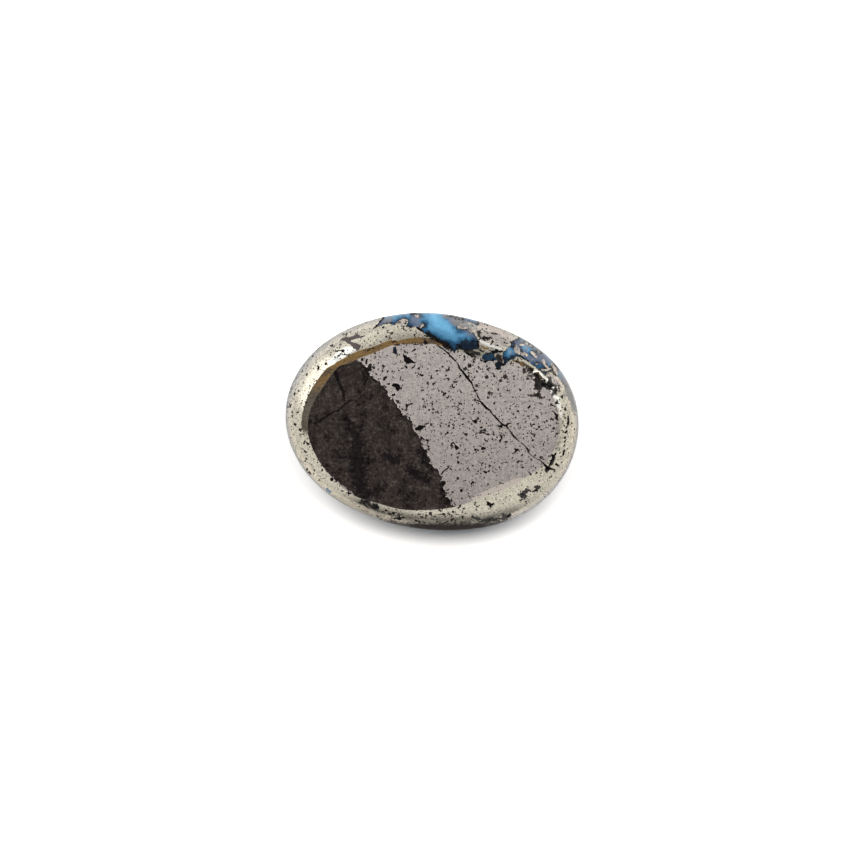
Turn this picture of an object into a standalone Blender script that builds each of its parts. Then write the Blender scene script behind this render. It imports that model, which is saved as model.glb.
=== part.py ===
"""A polished oval Persian turquoise in its pyrite and dark host rock, lying on its dome.

The stone is one natural piece, so it is one solid: a flat back that faces up, a narrow hand ground
strip on part of its edge, a rounded bevel down to the girdle, and a dome below with a small worn
flat at its crown, on which the stone rests. The back is open where the real one is: a long crack,
a broken hollow at one edge, a bed of softer rock a little lower than the metal, and pits.

+X runs along the stone's long axis, +Y across it and +Z out of the flat back. The origin is the
point under the middle of the stone, on the surface that it lies on.
"""

import math

import bmesh
import bpy
import numpy as np

MM = 0.001

# The stone's own sizes, in millimetres.
HALF_LENGTH = 12.0
HALF_WIDTH = 8.91
THICKNESS = 6.3
GIRDLE_HEIGHT = 4.1
CROWN_SHARE = 0.26
DOME_FULLNESS = 2.15

# How the hand cut girdle leaves a true ellipse: waves around it, cosine part and sine part.
GIRDLE_WAVES = (
    (1, 0.008, -0.003),
    (3, -0.004, -0.001),
    (4, -0.007, 0.004),
    (5, -0.004, 0.002),
    (6, -0.003, 0.000),
)

# The flat back's edge: degrees round the stone from +X, and the distance from its axis.
BACK_EDGE = (
    (2, 10.16), (14, 10.12), (22, 9.93), (28, 9.70), (36, 9.23), (41, 8.83), (50, 7.63), (60, 6.90),
    (69, 6.56), (79, 6.44), (92, 6.62), (103, 6.90), (118, 7.25), (133, 7.53), (143, 8.05),
    (149, 8.45), (152, 8.84), (158, 9.07), (167, 9.33), (173, 9.64), (180, 9.88), (189, 9.96),
    (203, 9.51), (214, 9.02), (228, 8.43), (241, 7.65), (253, 7.28), (273, 6.83), (291, 6.82),
    (310, 7.01), (323, 7.65), (338, 8.65), (348, 9.63),
)

# The ground strip between the flat back and the bevel: degrees, and its width.
STRIP_WIDTHS = (
    (80, 0.02), (91, 0.42), (104, 0.36), (118, 0.22), (121, 0.42), (131, 0.46), (140, 0.60),
    (149, 0.55), (153, 0.36), (157, 0.60), (168, 0.70), (177, 0.55), (185, 0.53), (192, 0.25),
    (199, 0.02),
)
STRIP_SLOPE = 0.45

# How steeply the bevel sets off, in degrees: crisp on most of the edge, soft at the lower right.
BEVEL_STARTS = (
    (0, 22), (45, 26), (90, 30), (180, 32), (240, 28), (290, 14), (320, 9), (340, 14),
)

# The long crack over the back, from one edge to the other: x, y and half its width.
CRACK = (
    (-0.31, 7.04, 0.05), (0.46, 6.16, 0.06), (0.94, 5.80, 0.07), (1.79, 4.81, 0.10),
    (2.29, 4.37, 0.12), (2.84, 3.76, 0.14), (3.10, 3.29, 0.09), (3.57, 2.53, 0.11),
    (4.03, 2.08, 0.14), (4.52, 1.80, 0.10), (5.07, 1.23, 0.13), (5.48, 0.86, 0.14),
    (5.91, 0.74, 0.10), (6.25, 0.31, 0.07), (6.61, -0.11, 0.08), (7.16, -0.49, 0.09),
    (7.74, -0.86, 0.11), (8.14, -1.48, 0.07), (8.78, -1.71, 0.06), (9.25, -2.03, 0.08),
    (9.63, -2.40, 0.10), (10.0, -2.62, 0.05),
)
CRACK_DEPTH = 0.28

# The broken hollow at the upper right edge: its main run, its arm over the back, and the part
# that breaks into the bevel. Each point has x, y and half the width.
HOLLOWS = (
    (
        (6.90, 5.95, 0.10), (7.16, 5.62, 0.24), (7.44, 5.20, 0.22), (7.66, 4.86, 0.40),
        (7.94, 4.46, 0.34), (8.12, 4.08, 0.40), (8.16, 3.66, 0.24), (8.02, 3.34, 0.20),
    ),
    ((8.10, 3.62, 0.16), (7.80, 3.40, 0.12), (7.42, 3.44, 0.15), (7.08, 3.56, 0.05)),
    (
        (8.62, 4.86, 0.12), (8.84, 4.56, 0.26), (9.12, 4.32, 0.22), (9.36, 4.10, 0.36),
        (9.56, 3.82, 0.24), (9.66, 3.52, 0.10),
    ),
)
HOLLOW_DEPTH = 0.34

# The edge of the host rock on the back, where it meets the metal, from the top of the photo down.
ROCK_EDGE = (
    (-6.20, 4.80), (-6.02, 4.52), (-5.75, 4.20), (-5.23, 3.91), (-4.72, 3.05), (-4.02, 2.62),
    (-3.50, 1.97), (-3.02, 1.10), (-2.38, 0.46), (-2.02, -0.25), (-1.28, -0.81), (-0.92, -1.62),
    (-0.15, -2.33), (0.12, -3.12), (0.74, -3.89), (1.05, -4.70), (1.82, -5.59), (2.05, -6.25),
)
ROCK_ARC = (147, 283)
ROCK_MARGIN = 0.16
ROCK_DEPTH = 0.06
ROCK_GRAIN = 0.035
ROCK_STEPS = 11

# The larger pits: x, y, length, width and the turn of the length from +X in degrees.
PITS = (
    (-2.45, 5.23, 1.20, 0.52, -40), (-2.10, 5.98, 0.66, 0.36, -75), (-5.57, 4.46, 0.74, 0.42, 80),
    (-3.18, 2.91, 0.80, 0.58, -25), (-4.13, 3.48, 0.42, 0.38, 0), (-1.00, -0.21, 0.72, 0.44, 20),
    (-0.23, -1.17, 0.44, 0.30, 70), (1.28, 3.51, 0.52, 0.34, 60), (0.79, 4.00, 0.44, 0.30, -30),
    (3.39, 0.84, 0.44, 0.36, 10), (2.08, -1.43, 0.62, 0.36, -60), (3.72, -1.55, 0.44, 0.30, -60),
    (6.93, -1.14, 0.42, 0.36, 0), (2.36, -2.48, 0.62, 0.34, 75), (7.30, -2.05, 0.46, 0.34, -20),
    (5.56, -0.32, 0.52, 0.36, 80), (5.38, -5.67, 0.70, 0.50, -15), (8.16, -4.34, 1.20, 0.70, 30),
    (8.93, -3.90, 0.52, 0.42, 20), (-7.22, 6.11, 1.50, 0.50, 35), (-7.53, -5.08, 0.36, 0.36, 0),
    (5.44, -6.84, 1.30, 0.36, 8), (-3.68, -7.08, 0.50, 0.34, 0),
)
PIT_DEPTH = 0.16

COLUMNS = 96
BEVEL_RINGS = 7
DOME_RINGS = 11
JITTER_SEED = 11


def smooth_ring(points, degrees):
    """Value at each angle of the smooth closed curve through (degrees, value) points.

    Between two points it is the cubic whose slope at each point is that of the line joining
    the point's two neighbours.
    """
    place = np.array([point[0] for point in points], float)
    value = np.array([point[1] for point in points], float)
    place = np.concatenate([place[-2:] - 360, place, place[:3] + 360])
    value = np.concatenate([value[-2:], value, value[:3]])
    slope = np.gradient(value)
    slope[1:-1] = (value[2:] - value[:-2]) / (place[2:] - place[:-2])
    turned = np.mod(degrees - place[1], 360) + place[1]
    first = np.clip(np.searchsorted(place, turned, side="right") - 1, 1, len(place) - 3)
    span = place[first + 1] - place[first]
    u = (turned - place[first]) / span
    start = (1 + 2 * u) * (1 - u) ** 2 * value[first] + u * (1 - u) ** 2 * span * slope[first]
    end = u * u * (3 - 2 * u) * value[first + 1] + u * u * (u - 1) * span * slope[first + 1]
    return start + end


def straight_ring(points, degrees):
    """Value at each angle of the closed run of straight stretches through the points."""
    return np.interp(degrees, [point[0] for point in points], [point[1] for point in points], period=360)


def girdle_radius(angle):
    """Distance of the girdle from the axis: an ellipse's, times the waves of the hand cut."""
    ellipse = HALF_LENGTH * HALF_WIDTH / np.hypot(HALF_WIDTH * np.cos(angle), HALF_LENGTH * np.sin(angle))
    waves = sum(c * np.cos(n * angle) + s * np.sin(n * angle) for n, c, s in GIRDLE_WAVES)
    return ellipse * (1 + waves)


def back_edges(angle):
    """Radii of the flat back's edge and of the strip's outer edge, and the bevel's start angle."""
    degrees = np.degrees(angle) % 360
    inner = smooth_ring(BACK_EDGE, degrees)
    outer = inner + straight_ring(STRIP_WIDTHS, degrees)
    start = np.radians(smooth_ring(BEVEL_STARTS, degrees))
    return inner, outer, start


def bevel(angle, share):
    """Radius and height on the bevel, from the strip's edge (share 0) to the girdle (share 1).

    The slope angle grows evenly from the bevel's start angle to upright, along an arc that is
    stretched to join the two edges.
    """
    inner, outer, start = back_edges(angle)
    slope = start + (math.pi / 2 - start) * share
    across = (np.sin(slope) - np.sin(start)) / (1 - np.sin(start))
    down = (np.cos(start) - np.cos(slope)) / np.cos(start)
    top = THICKNESS - STRIP_SLOPE * (outer - inner)
    return outer + (girdle_radius(angle) - outer) * across, top + (GIRDLE_HEIGHT - top) * down


def dome(angle, share):
    """Radius and height on the dome, from the girdle (share 0) to the crown's flat (share 1).

    The section is a superellipse a little fuller than an ellipse, cut level at the crown.
    """
    turn = share * math.acos(CROWN_SHARE ** (DOME_FULLNESS / 2))
    radius = np.cos(turn) ** (2 / DOME_FULLNESS)
    drop = np.sin(turn) ** (2 / DOME_FULLNESS)
    deepest = (1 - CROWN_SHARE**DOME_FULLNESS) ** (1 / DOME_FULLNESS)
    return girdle_radius(angle) * radius, GIRDLE_HEIGHT * (1 - drop / deepest)


def back_height(x, y):
    """Height of the whole back over a point: flat, then the strip's slope, then the bevel."""
    angle = np.arctan2(y, x)
    radius = np.hypot(x, y)
    inner, outer, start = back_edges(angle)
    across = np.clip((radius - outer) / (girdle_radius(angle) - outer), 0, 1)
    slope = np.arcsin(np.sin(start) + across * (1 - np.sin(start)))
    down = (np.cos(start) - np.cos(slope)) / np.cos(start)
    top = THICKNESS - STRIP_SLOPE * (outer - inner)
    on_bevel = top + (GIRDLE_HEIGHT - top) * down
    on_strip = THICKNESS - STRIP_SLOPE * np.clip(radius - inner, 0, None)
    return np.where(radius < outer, on_strip, on_bevel)


def material(name, colour, roughness, metallic):
    made = bpy.data.materials.new(name)
    made.use_nodes = True
    shader = made.node_tree.nodes["Principled BSDF"]
    shader.inputs["Base Color"].default_value = (*colour, 1)
    shader.inputs["Roughness"].default_value = roughness
    shader.inputs["Metallic"].default_value = metallic
    made.diffuse_color = (*colour, 1)
    return made


def add_object(name, points, faces, materials, face_slots=None):
    """A new object from points in millimetres, its faces turned outwards."""
    mesh = bpy.data.meshes.new(name)
    mesh.from_pydata([tuple(point) for point in np.asarray(points, float) * MM], [], faces)
    for entry in materials:
        mesh.materials.append(entry)
    if face_slots is not None:
        mesh.polygons.foreach_set("material_index", face_slots)
    shape = bmesh.new()
    shape.from_mesh(mesh)
    bmesh.ops.recalc_face_normals(shape, faces=shape.faces)
    shape.to_mesh(mesh)
    shape.free()
    made = bpy.data.objects.new(name, mesh)
    bpy.context.scene.collection.objects.link(made)
    return made


def ring_faces(rows, columns):
    """Quads between neighbouring rings of points, and one cap at each end."""
    faces = []
    for row in range(rows - 1):
        for column in range(columns):
            after = (column + 1) % columns
            low = row * columns
            high = low + columns
            faces.append((low + column, low + after, high + after, high + column))
    faces.append(tuple(range(columns)))
    faces.append(tuple(range((rows - 1) * columns, rows * columns)))
    return faces


def stone(pyrite, rock, turquoise):
    """The whole body before it is broken anywhere: caps, strip, bevel and dome in rings."""
    step = np.arange(COLUMNS) * 2 * math.pi / COLUMNS
    angle = np.arctan2(HALF_WIDTH * np.sin(step), HALF_LENGTH * np.cos(step))
    inner, _, _ = back_edges(angle)
    rings = [(inner, np.full(COLUMNS, THICKNESS))]
    rings += [bevel(angle, row / BEVEL_RINGS) for row in range(BEVEL_RINGS + 1)]
    rings += [dome(angle, row / DOME_RINGS) for row in range(1, DOME_RINGS + 1)]
    points = np.concatenate(
        [np.stack([r * np.cos(angle), r * np.sin(angle), z + 0 * angle], axis=1) for r, z in rings]
    )
    faces = ring_faces(len(rings), COLUMNS)
    back_bands = BEVEL_RINGS + 1
    slots = [0 if face // COLUMNS < back_bands else 2 for face in range(len(faces) - 2)] + [0, 2]
    made = add_object("turquoise_cabochon", points, faces, (pyrite, rock, turquoise), slots)
    made.data.shade_smooth()
    made.data.set_sharp_from_angle(angle=math.radians(25))
    return made


def groove(name, route, depth, rock):
    """A cutter along a route of (x, y, half width): a V with shoulders that follows the surface.

    Each cross section stands square to the route. It starts above the surface, passes it at the
    stated half width, narrows to a shoulder at half the depth and ends in an edge at full depth.
    """
    route = np.array(route)
    plan = route[:, :2]
    along = np.gradient(plan, axis=0)
    along /= np.linalg.norm(along, axis=1, keepdims=True)
    side = np.stack([-along[:, 1], along[:, 0]], axis=1)
    half = route[:, 2]
    surface = back_height(plan[:, 0], plan[:, 1])
    section = ((-1.35, 0.5), (-1.0, 0.0), (-0.6, -0.5), (0.0, -1.0), (0.6, -0.5), (1.0, 0.0), (1.35, 0.5))
    rows = []
    for across, down in section:
        xy = plan + side * (half * across)[:, None]
        rows.append(np.column_stack([xy, surface + down * depth]))
    points = np.stack(rows, axis=1).reshape(-1, 3)
    return add_object(name, points, ring_faces(len(route), len(section)), (rock,))


def rock_bed(rock, noise):
    """A cutter whose rough underside is the floor of the host rock on the back.

    It is a grid: one way along the rock's edge, the other way from that edge across to an arc
    just inside the flat back's own edge. Its top is level and clear of the stone.
    """
    edge = np.array(ROCK_EDGE)
    rows = len(edge)
    arc = np.radians(np.linspace(ROCK_ARC[0], ROCK_ARC[1], rows))
    reach = back_edges(arc)[0] - ROCK_MARGIN
    far = np.stack([reach * np.cos(arc), reach * np.sin(arc)], axis=1)
    share = np.linspace(0, 1, ROCK_STEPS + 1)[None, :, None]
    plan = edge[:, None] * (1 - share) + far[:, None] * share
    inside = np.ones(plan.shape[:2])
    inside[0] = inside[-1] = inside[:, 0] = inside[:, -1] = 0.4
    floor = THICKNESS - ROCK_DEPTH * inside - ROCK_GRAIN * inside * noise.random(plan.shape[:2])
    under = np.concatenate([plan, floor[:, :, None]], axis=2).reshape(-1, 3)
    over = np.concatenate([plan, np.full(plan.shape[:2] + (1,), THICKNESS + 0.4)], axis=2).reshape(-1, 3)
    columns = ROCK_STEPS + 1
    corner = [(row * columns + column) for row in range(rows - 1) for column in range(columns - 1)]
    under_faces = [(c, c + 1, c + columns + 1, c + columns) for c in corner]
    lift = rows * columns
    over_faces = [tuple(point + lift for point in face) for face in under_faces]
    rim = list(range(columns))
    rim += [row * columns + columns - 1 for row in range(1, rows)]
    rim += [(rows - 1) * columns + column for column in range(columns - 2, -1, -1)]
    rim += [row * columns for row in range(rows - 2, 0, -1)]
    walls = [(a, b, b + lift, a + lift) for a, b in zip(rim, rim[1:] + rim[:1])]
    points = np.concatenate([under, over])
    return add_object("rock_bed_cutter", points, under_faces + over_faces + walls, (rock,))


def pits(rock, noise):
    """One cutter of separate rough lumps, each sunk to its middle in the surface of the back."""
    shape = bmesh.new()
    for x, y, length, width, turn in PITS:
        made = bmesh.ops.create_icosphere(shape, subdivisions=1, radius=1.0)
        cos, sin = math.cos(math.radians(turn)), math.sin(math.radians(turn))
        height = float(back_height(x, y))
        for vertex in made["verts"]:
            rough = 0.8 + 0.4 * noise.random()
            across = vertex.co.x * rough * length / 2
            along = vertex.co.y * rough * width / 2
            vertex.co.z = (height + vertex.co.z * PIT_DEPTH) * MM
            vertex.co.x = (x + cos * across - sin * along) * MM
            vertex.co.y = (y + sin * across + cos * along) * MM
    mesh = bpy.data.meshes.new("pits_cutter")
    shape.to_mesh(mesh)
    shape.free()
    mesh.materials.append(rock)
    made = bpy.data.objects.new("pits_cutter", mesh)
    bpy.context.scene.collection.objects.link(made)
    return made


def cut(body, cutter):
    """Takes the cutter away from the body, and hides the cutter."""
    step = body.modifiers.new(cutter.name, "BOOLEAN")
    step.operation = "DIFFERENCE"
    step.solver = "EXACT"
    step.object = cutter
    step.material_mode = "TRANSFER"
    cutter.hide_render = True
    cutter.display_type = "WIRE"


def main():
    for old in list(bpy.data.objects):
        bpy.data.objects.remove(old, do_unlink=True)
    noise = np.random.default_rng(JITTER_SEED)
    pyrite = material("polished pyrite", (0.42, 0.38, 0.33), 0.28, 0.8)
    rock = material("dark host rock", (0.035, 0.025, 0.022), 0.7, 0.0)
    turquoise = material("turquoise", (0.12, 0.37, 0.58), 0.25, 0.0)
    body = stone(pyrite, rock, turquoise)
    cut(body, rock_bed(rock, noise))
    cut(body, pits(rock, noise))
    cut(body, groove("crack_cutter", CRACK, CRACK_DEPTH, rock))
    for number, route in enumerate(HOLLOWS):
        cut(body, groove(f"hollow_cutter_{number + 1}", route, HOLLOW_DEPTH, rock))


main()
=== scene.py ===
"""The polished Persian turquoise with its flat pyrite back up, on a plain pale floor in soft studio light.

The stone is one closed piece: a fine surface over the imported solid's own shape, with the crack, the
broken hollow, the pits and the bed of host rock sunk into it. Where the back carries a mark, the mark
is placed in the photograph's pixels, through the scene's own camera, and kept on the surface as the
distance to its edge in millimetres. The materials draw the edge itself, roughened by fine noise.

Lengths are in millimetres up to the moment a mesh is made. +X runs along the stone, +Y across it
towards the top of the photograph, +Z out of the flat back.
"""

import math

import bpy
import numpy as np
from mathutils import Matrix, Vector


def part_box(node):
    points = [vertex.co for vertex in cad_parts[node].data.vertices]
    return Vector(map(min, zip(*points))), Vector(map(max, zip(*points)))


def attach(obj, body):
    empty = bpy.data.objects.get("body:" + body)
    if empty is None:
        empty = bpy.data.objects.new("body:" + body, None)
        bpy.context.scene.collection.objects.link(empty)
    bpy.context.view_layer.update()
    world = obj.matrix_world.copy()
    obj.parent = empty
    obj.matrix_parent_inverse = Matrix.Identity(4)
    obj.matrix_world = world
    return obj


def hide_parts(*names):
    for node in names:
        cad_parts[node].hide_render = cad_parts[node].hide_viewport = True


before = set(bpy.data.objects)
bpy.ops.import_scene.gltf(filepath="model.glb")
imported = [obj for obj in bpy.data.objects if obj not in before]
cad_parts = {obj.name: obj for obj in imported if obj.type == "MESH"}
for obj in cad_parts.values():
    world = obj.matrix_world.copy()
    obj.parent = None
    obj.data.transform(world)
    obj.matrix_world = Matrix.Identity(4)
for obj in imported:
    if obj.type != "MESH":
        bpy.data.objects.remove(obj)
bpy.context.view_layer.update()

MM = 0.001
NODE = "turquoise_cabochon"
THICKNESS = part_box(NODE)[1].z / MM

# The stone's form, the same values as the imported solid's.
HALF_LENGTH = 12.0
HALF_WIDTH = 8.91
GIRDLE_HEIGHT = 4.1
CROWN_SHARE = 0.26
DOME_FULLNESS = 2.15
GIRDLE_WAVES = (
    (1, 0.008, -0.003),
    (3, -0.004, -0.001),
    (4, -0.007, 0.004),
    (5, -0.004, 0.002),
    (6, -0.003, 0.000),
)
BACK_EDGE = (
    (2, 10.16), (14, 10.12), (22, 9.93), (28, 9.70), (36, 9.23), (41, 8.83), (50, 7.63), (60, 6.90),
    (69, 6.56), (79, 6.44), (92, 6.62), (103, 6.90), (118, 7.25), (133, 7.53), (143, 8.05),
    (149, 8.45), (152, 8.84), (158, 9.07), (167, 9.33), (173, 9.64), (180, 9.88), (189, 9.96),
    (203, 9.51), (214, 9.02), (228, 8.43), (241, 7.65), (253, 7.28), (273, 6.83), (291, 6.82),
    (310, 7.01), (323, 7.65), (338, 8.65), (348, 9.63),
)
STRIP_WIDTHS = (
    (80, 0.02), (91, 0.42), (104, 0.36), (118, 0.22), (121, 0.42), (131, 0.46), (140, 0.60),
    (149, 0.55), (153, 0.36), (157, 0.60), (168, 0.70), (177, 0.55), (185, 0.53), (192, 0.25),
    (199, 0.02),
)
STRIP_SLOPE = 0.45
BEVEL_STARTS = (
    (0, 22), (45, 26), (90, 30), (180, 32), (240, 28), (290, 14), (320, 9), (340, 14),
)

# Rings of the fine surface, from the middle of the back to the girdle, and of the dome below it.
FLAT_RINGS = 102
STRIP_RINGS = 6
BEVEL_RINGS = 30
BACK_RINGS = FLAT_RINGS + STRIP_RINGS + BEVEL_RINGS
DOME_RINGS = BACK_RINGS // 2
CROWN_RINGS = 16
LEAST_STRIP = 0.3
NARROWEST_STRIP = 0.12
GIRDLE_GAP = 0.012
POLISH_LOSS = 0.006

# The camera: it looks down on the back, leaning towards the top edge and turned a little.
PICTURE = 862
LENS = 100.0
SENSOR = 36.0
PIXELS_PER_MM = 12.486
LEAN = math.radians(10.5)
TURN = math.radians(6.12)
BACK_MIDDLE = np.array([0.088, 0.035, THICKNESS])
BACK_MIDDLE_PIXEL = (433.1, 426.45)

# The long crack, from the top edge down: across, down and width in the photograph's pixels.
CRACK = (
    (437.5, 345.0, 1.2), (440.0, 347.2, 1.6), (443.3, 349.2, 1.2), (447.3, 352.8, 1.6),
    (451.3, 357.0, 1.8), (454.2, 359.8, 1.6), (456.7, 361.9, 1.2), (458.6, 365.4, 1.4),
    (460.2, 368.8, 1.7), (463.3, 372.5, 2.2), (467.2, 377.6, 2.9), (469.6, 380.4, 2.2),
    (471.8, 383.2, 1.7), (473.4, 387.6, 1.2), (476.0, 392.2, 1.1), (479.3, 399.0, 1.5),
    (482.0, 403.4, 2.2), (485.8, 407.4, 2.9), (489.8, 410.2, 1.8), (492.6, 414.2, 1.3),
    (496.6, 418.3, 1.9), (499.8, 422.0, 1.6), (502.6, 424.6, 2.0), (506.4, 426.0, 1.9),
    (509.3, 430.0, 1.4), (513.8, 436.5, 2.2), (516.6, 438.8, 1.2), (519.3, 441.4, 1.3),
    (524.8, 445.6, 1.1), (527.7, 449.4, 1.9), (528.4, 451.8, 2.0), (530.4, 454.6, 0.9),
    (535.0, 458.0, 1.3), (540.0, 460.2, 1.2), (543.6, 463.6, 1.9), (547.2, 467.6, 3.2),
)

# Fine lines that leave the crack or run beside it, each from point to point as above.
CRACK_BRANCHES = (
    ((506.2, 425.6, 1.4), (508.6, 423.4, 1.5), (511.4, 423.2, 1.2)),
    ((474.5, 399.2, 0.7), (479.0, 401.2, 1.9)),
    ((473.0, 391.6, 0.7), (475.6, 390.4, 2.0), (477.6, 390.0, 0.9)),
    ((498.4, 425.8, 1.5), (501.4, 426.6, 3.0)),
    ((547.0, 468.6, 3.4), (549.4, 468.4, 2.8), (553.4, 469.6, 1.2)),
    ((547.0, 468.8, 1.8), (545.8, 472.0, 0.8)),
    ((549.0, 466.0, 1.4), (550.8, 462.2, 1.9), (553.4, 457.4, 2.5), (552.0, 454.8, 2.3)),
    ((553.4, 457.0, 1.4), (555.7, 453.4, 2.1)),
    ((441.2, 474.6, 1.3), (443.4, 471.6, 1.7), (448.7, 467.4, 1.2), (449.4, 464.6, 0.7)),
    ((407.8, 412.4, 0.8), (409.4, 417.6, 1.5), (410.0, 421.5, 1.4)),
)

# The broken hollow by the upper right edge, as runs of overlapping widths.
HOLLOW = (
    ((526.0, 366.6, 2.0), (529.8, 369.0, 3.6), (533.0, 372.6, 3.4), (537.0, 377.4, 5.0), (537.6, 383.0, 6.0),
     (537.4, 387.4, 6.4)),
    ((529.6, 372.0, 1.4), (528.6, 376.4, 1.0)),
    ((531.6, 374.4, 1.6), (531.6, 378.8, 1.8), (535.0, 379.6, 3.0)),
    ((534.2, 388.6, 2.2), (538.0, 386.6, 5.4), (541.0, 388.0, 2.4)),
    ((539.4, 388.0, 2.6), (539.2, 392.6, 2.0), (538.6, 395.0, 4.6), (541.0, 398.0, 1.8)),
    ((538.0, 394.6, 4.6), (534.8, 395.4, 2.6), (531.0, 396.0, 2.0), (528.4, 395.2, 1.6)),
    ((527.0, 394.4, 1.6), (523.8, 394.4, 1.8)),
    ((533.4, 398.8, 1.2), (535.6, 399.8, 1.2)),
    ((538.4, 382.6, 4.0), (542.6, 383.6, 3.4), (545.4, 385.0, 2.0)),
    ((540.0, 384.0, 3.4), (544.6, 386.6, 2.4), (548.4, 390.2, 1.6)),
    ((545.0, 380.4, 1.8), (544.6, 379.6, 1.2)),
    ((534.0, 373.6, 1.2), (538.0, 376.6, 1.8), (541.6, 380.8, 1.6)),
    ((526.6, 367.2, 3.0), (530.6, 369.2, 2.4)),
    ((562.2, 396.6, 1.4), (562.6, 399.0, 1.6)),
)

# Duller broken ground: the rest of that hollow towards the rim, and the chipped places low on the rim.
DULL_MARKS = (
    ((543.6, 384.6, 4.0), (547.0, 386.0, 6.0), (549.4, 388.2, 4.6)),
    ((549.4, 378.8, 4.0), (550.0, 383.0, 4.6), (550.2, 388.0, 3.4)),
    ((552.6, 394.2, 2.4), (555.0, 393.2, 3.4), (557.0, 390.0, 2.4), (554.0, 385.6, 2.6)),
    ((558.4, 386.0, 2.8), (559.6, 390.6, 2.0)),
    ((538.6, 370.0, 1.4), (543.4, 373.4, 1.6), (547.6, 377.6, 1.8)),
    ((540.0, 374.0, 1.6), (543.0, 378.4, 2.4), (544.6, 382.8, 2.0)),
    ((473.0, 516.6, 2.4), (478.4, 519.0, 4.2), (486.0, 520.4, 3.6), (492.0, 519.4, 4.4), (499.6, 519.4, 4.0),
     (506.0, 517.2, 4.4), (511.0, 514.8, 2.4)),
    ((494.0, 518.0, 1.8), (494.6, 515.4, 1.2)),
    ((503.0, 516.0, 2.4), (502.6, 512.4, 1.2)),
    ((519.0, 494.6, 3.6), (523.0, 495.6, 6.2), (526.6, 496.6, 3.4)),
    ((524.2, 487.4, 1.6), (527.0, 489.8, 4.2), (531.2, 491.6, 2.6)),
    ((522.6, 495.0, 5.0), (526.6, 491.0, 4.6)),
    ((535.0, 486.8, 2.2), (537.2, 488.6, 4.6), (539.6, 486.4, 1.8)),
    ((520.0, 500.0, 1.6), (524.0, 498.6, 1.6), (529.2, 500.0, 1.6)),
    ((369.6, 503.6, 1.8), (371.4, 506.8, 2.4), (374.0, 508.8, 2.0)),
    ((373.4, 503.0, 3.2), (376.4, 506.4, 6.0), (378.0, 509.8, 2.8)),
    ((366.0, 500.6, 2.0), (370.0, 502.0, 3.0)),
)

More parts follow.
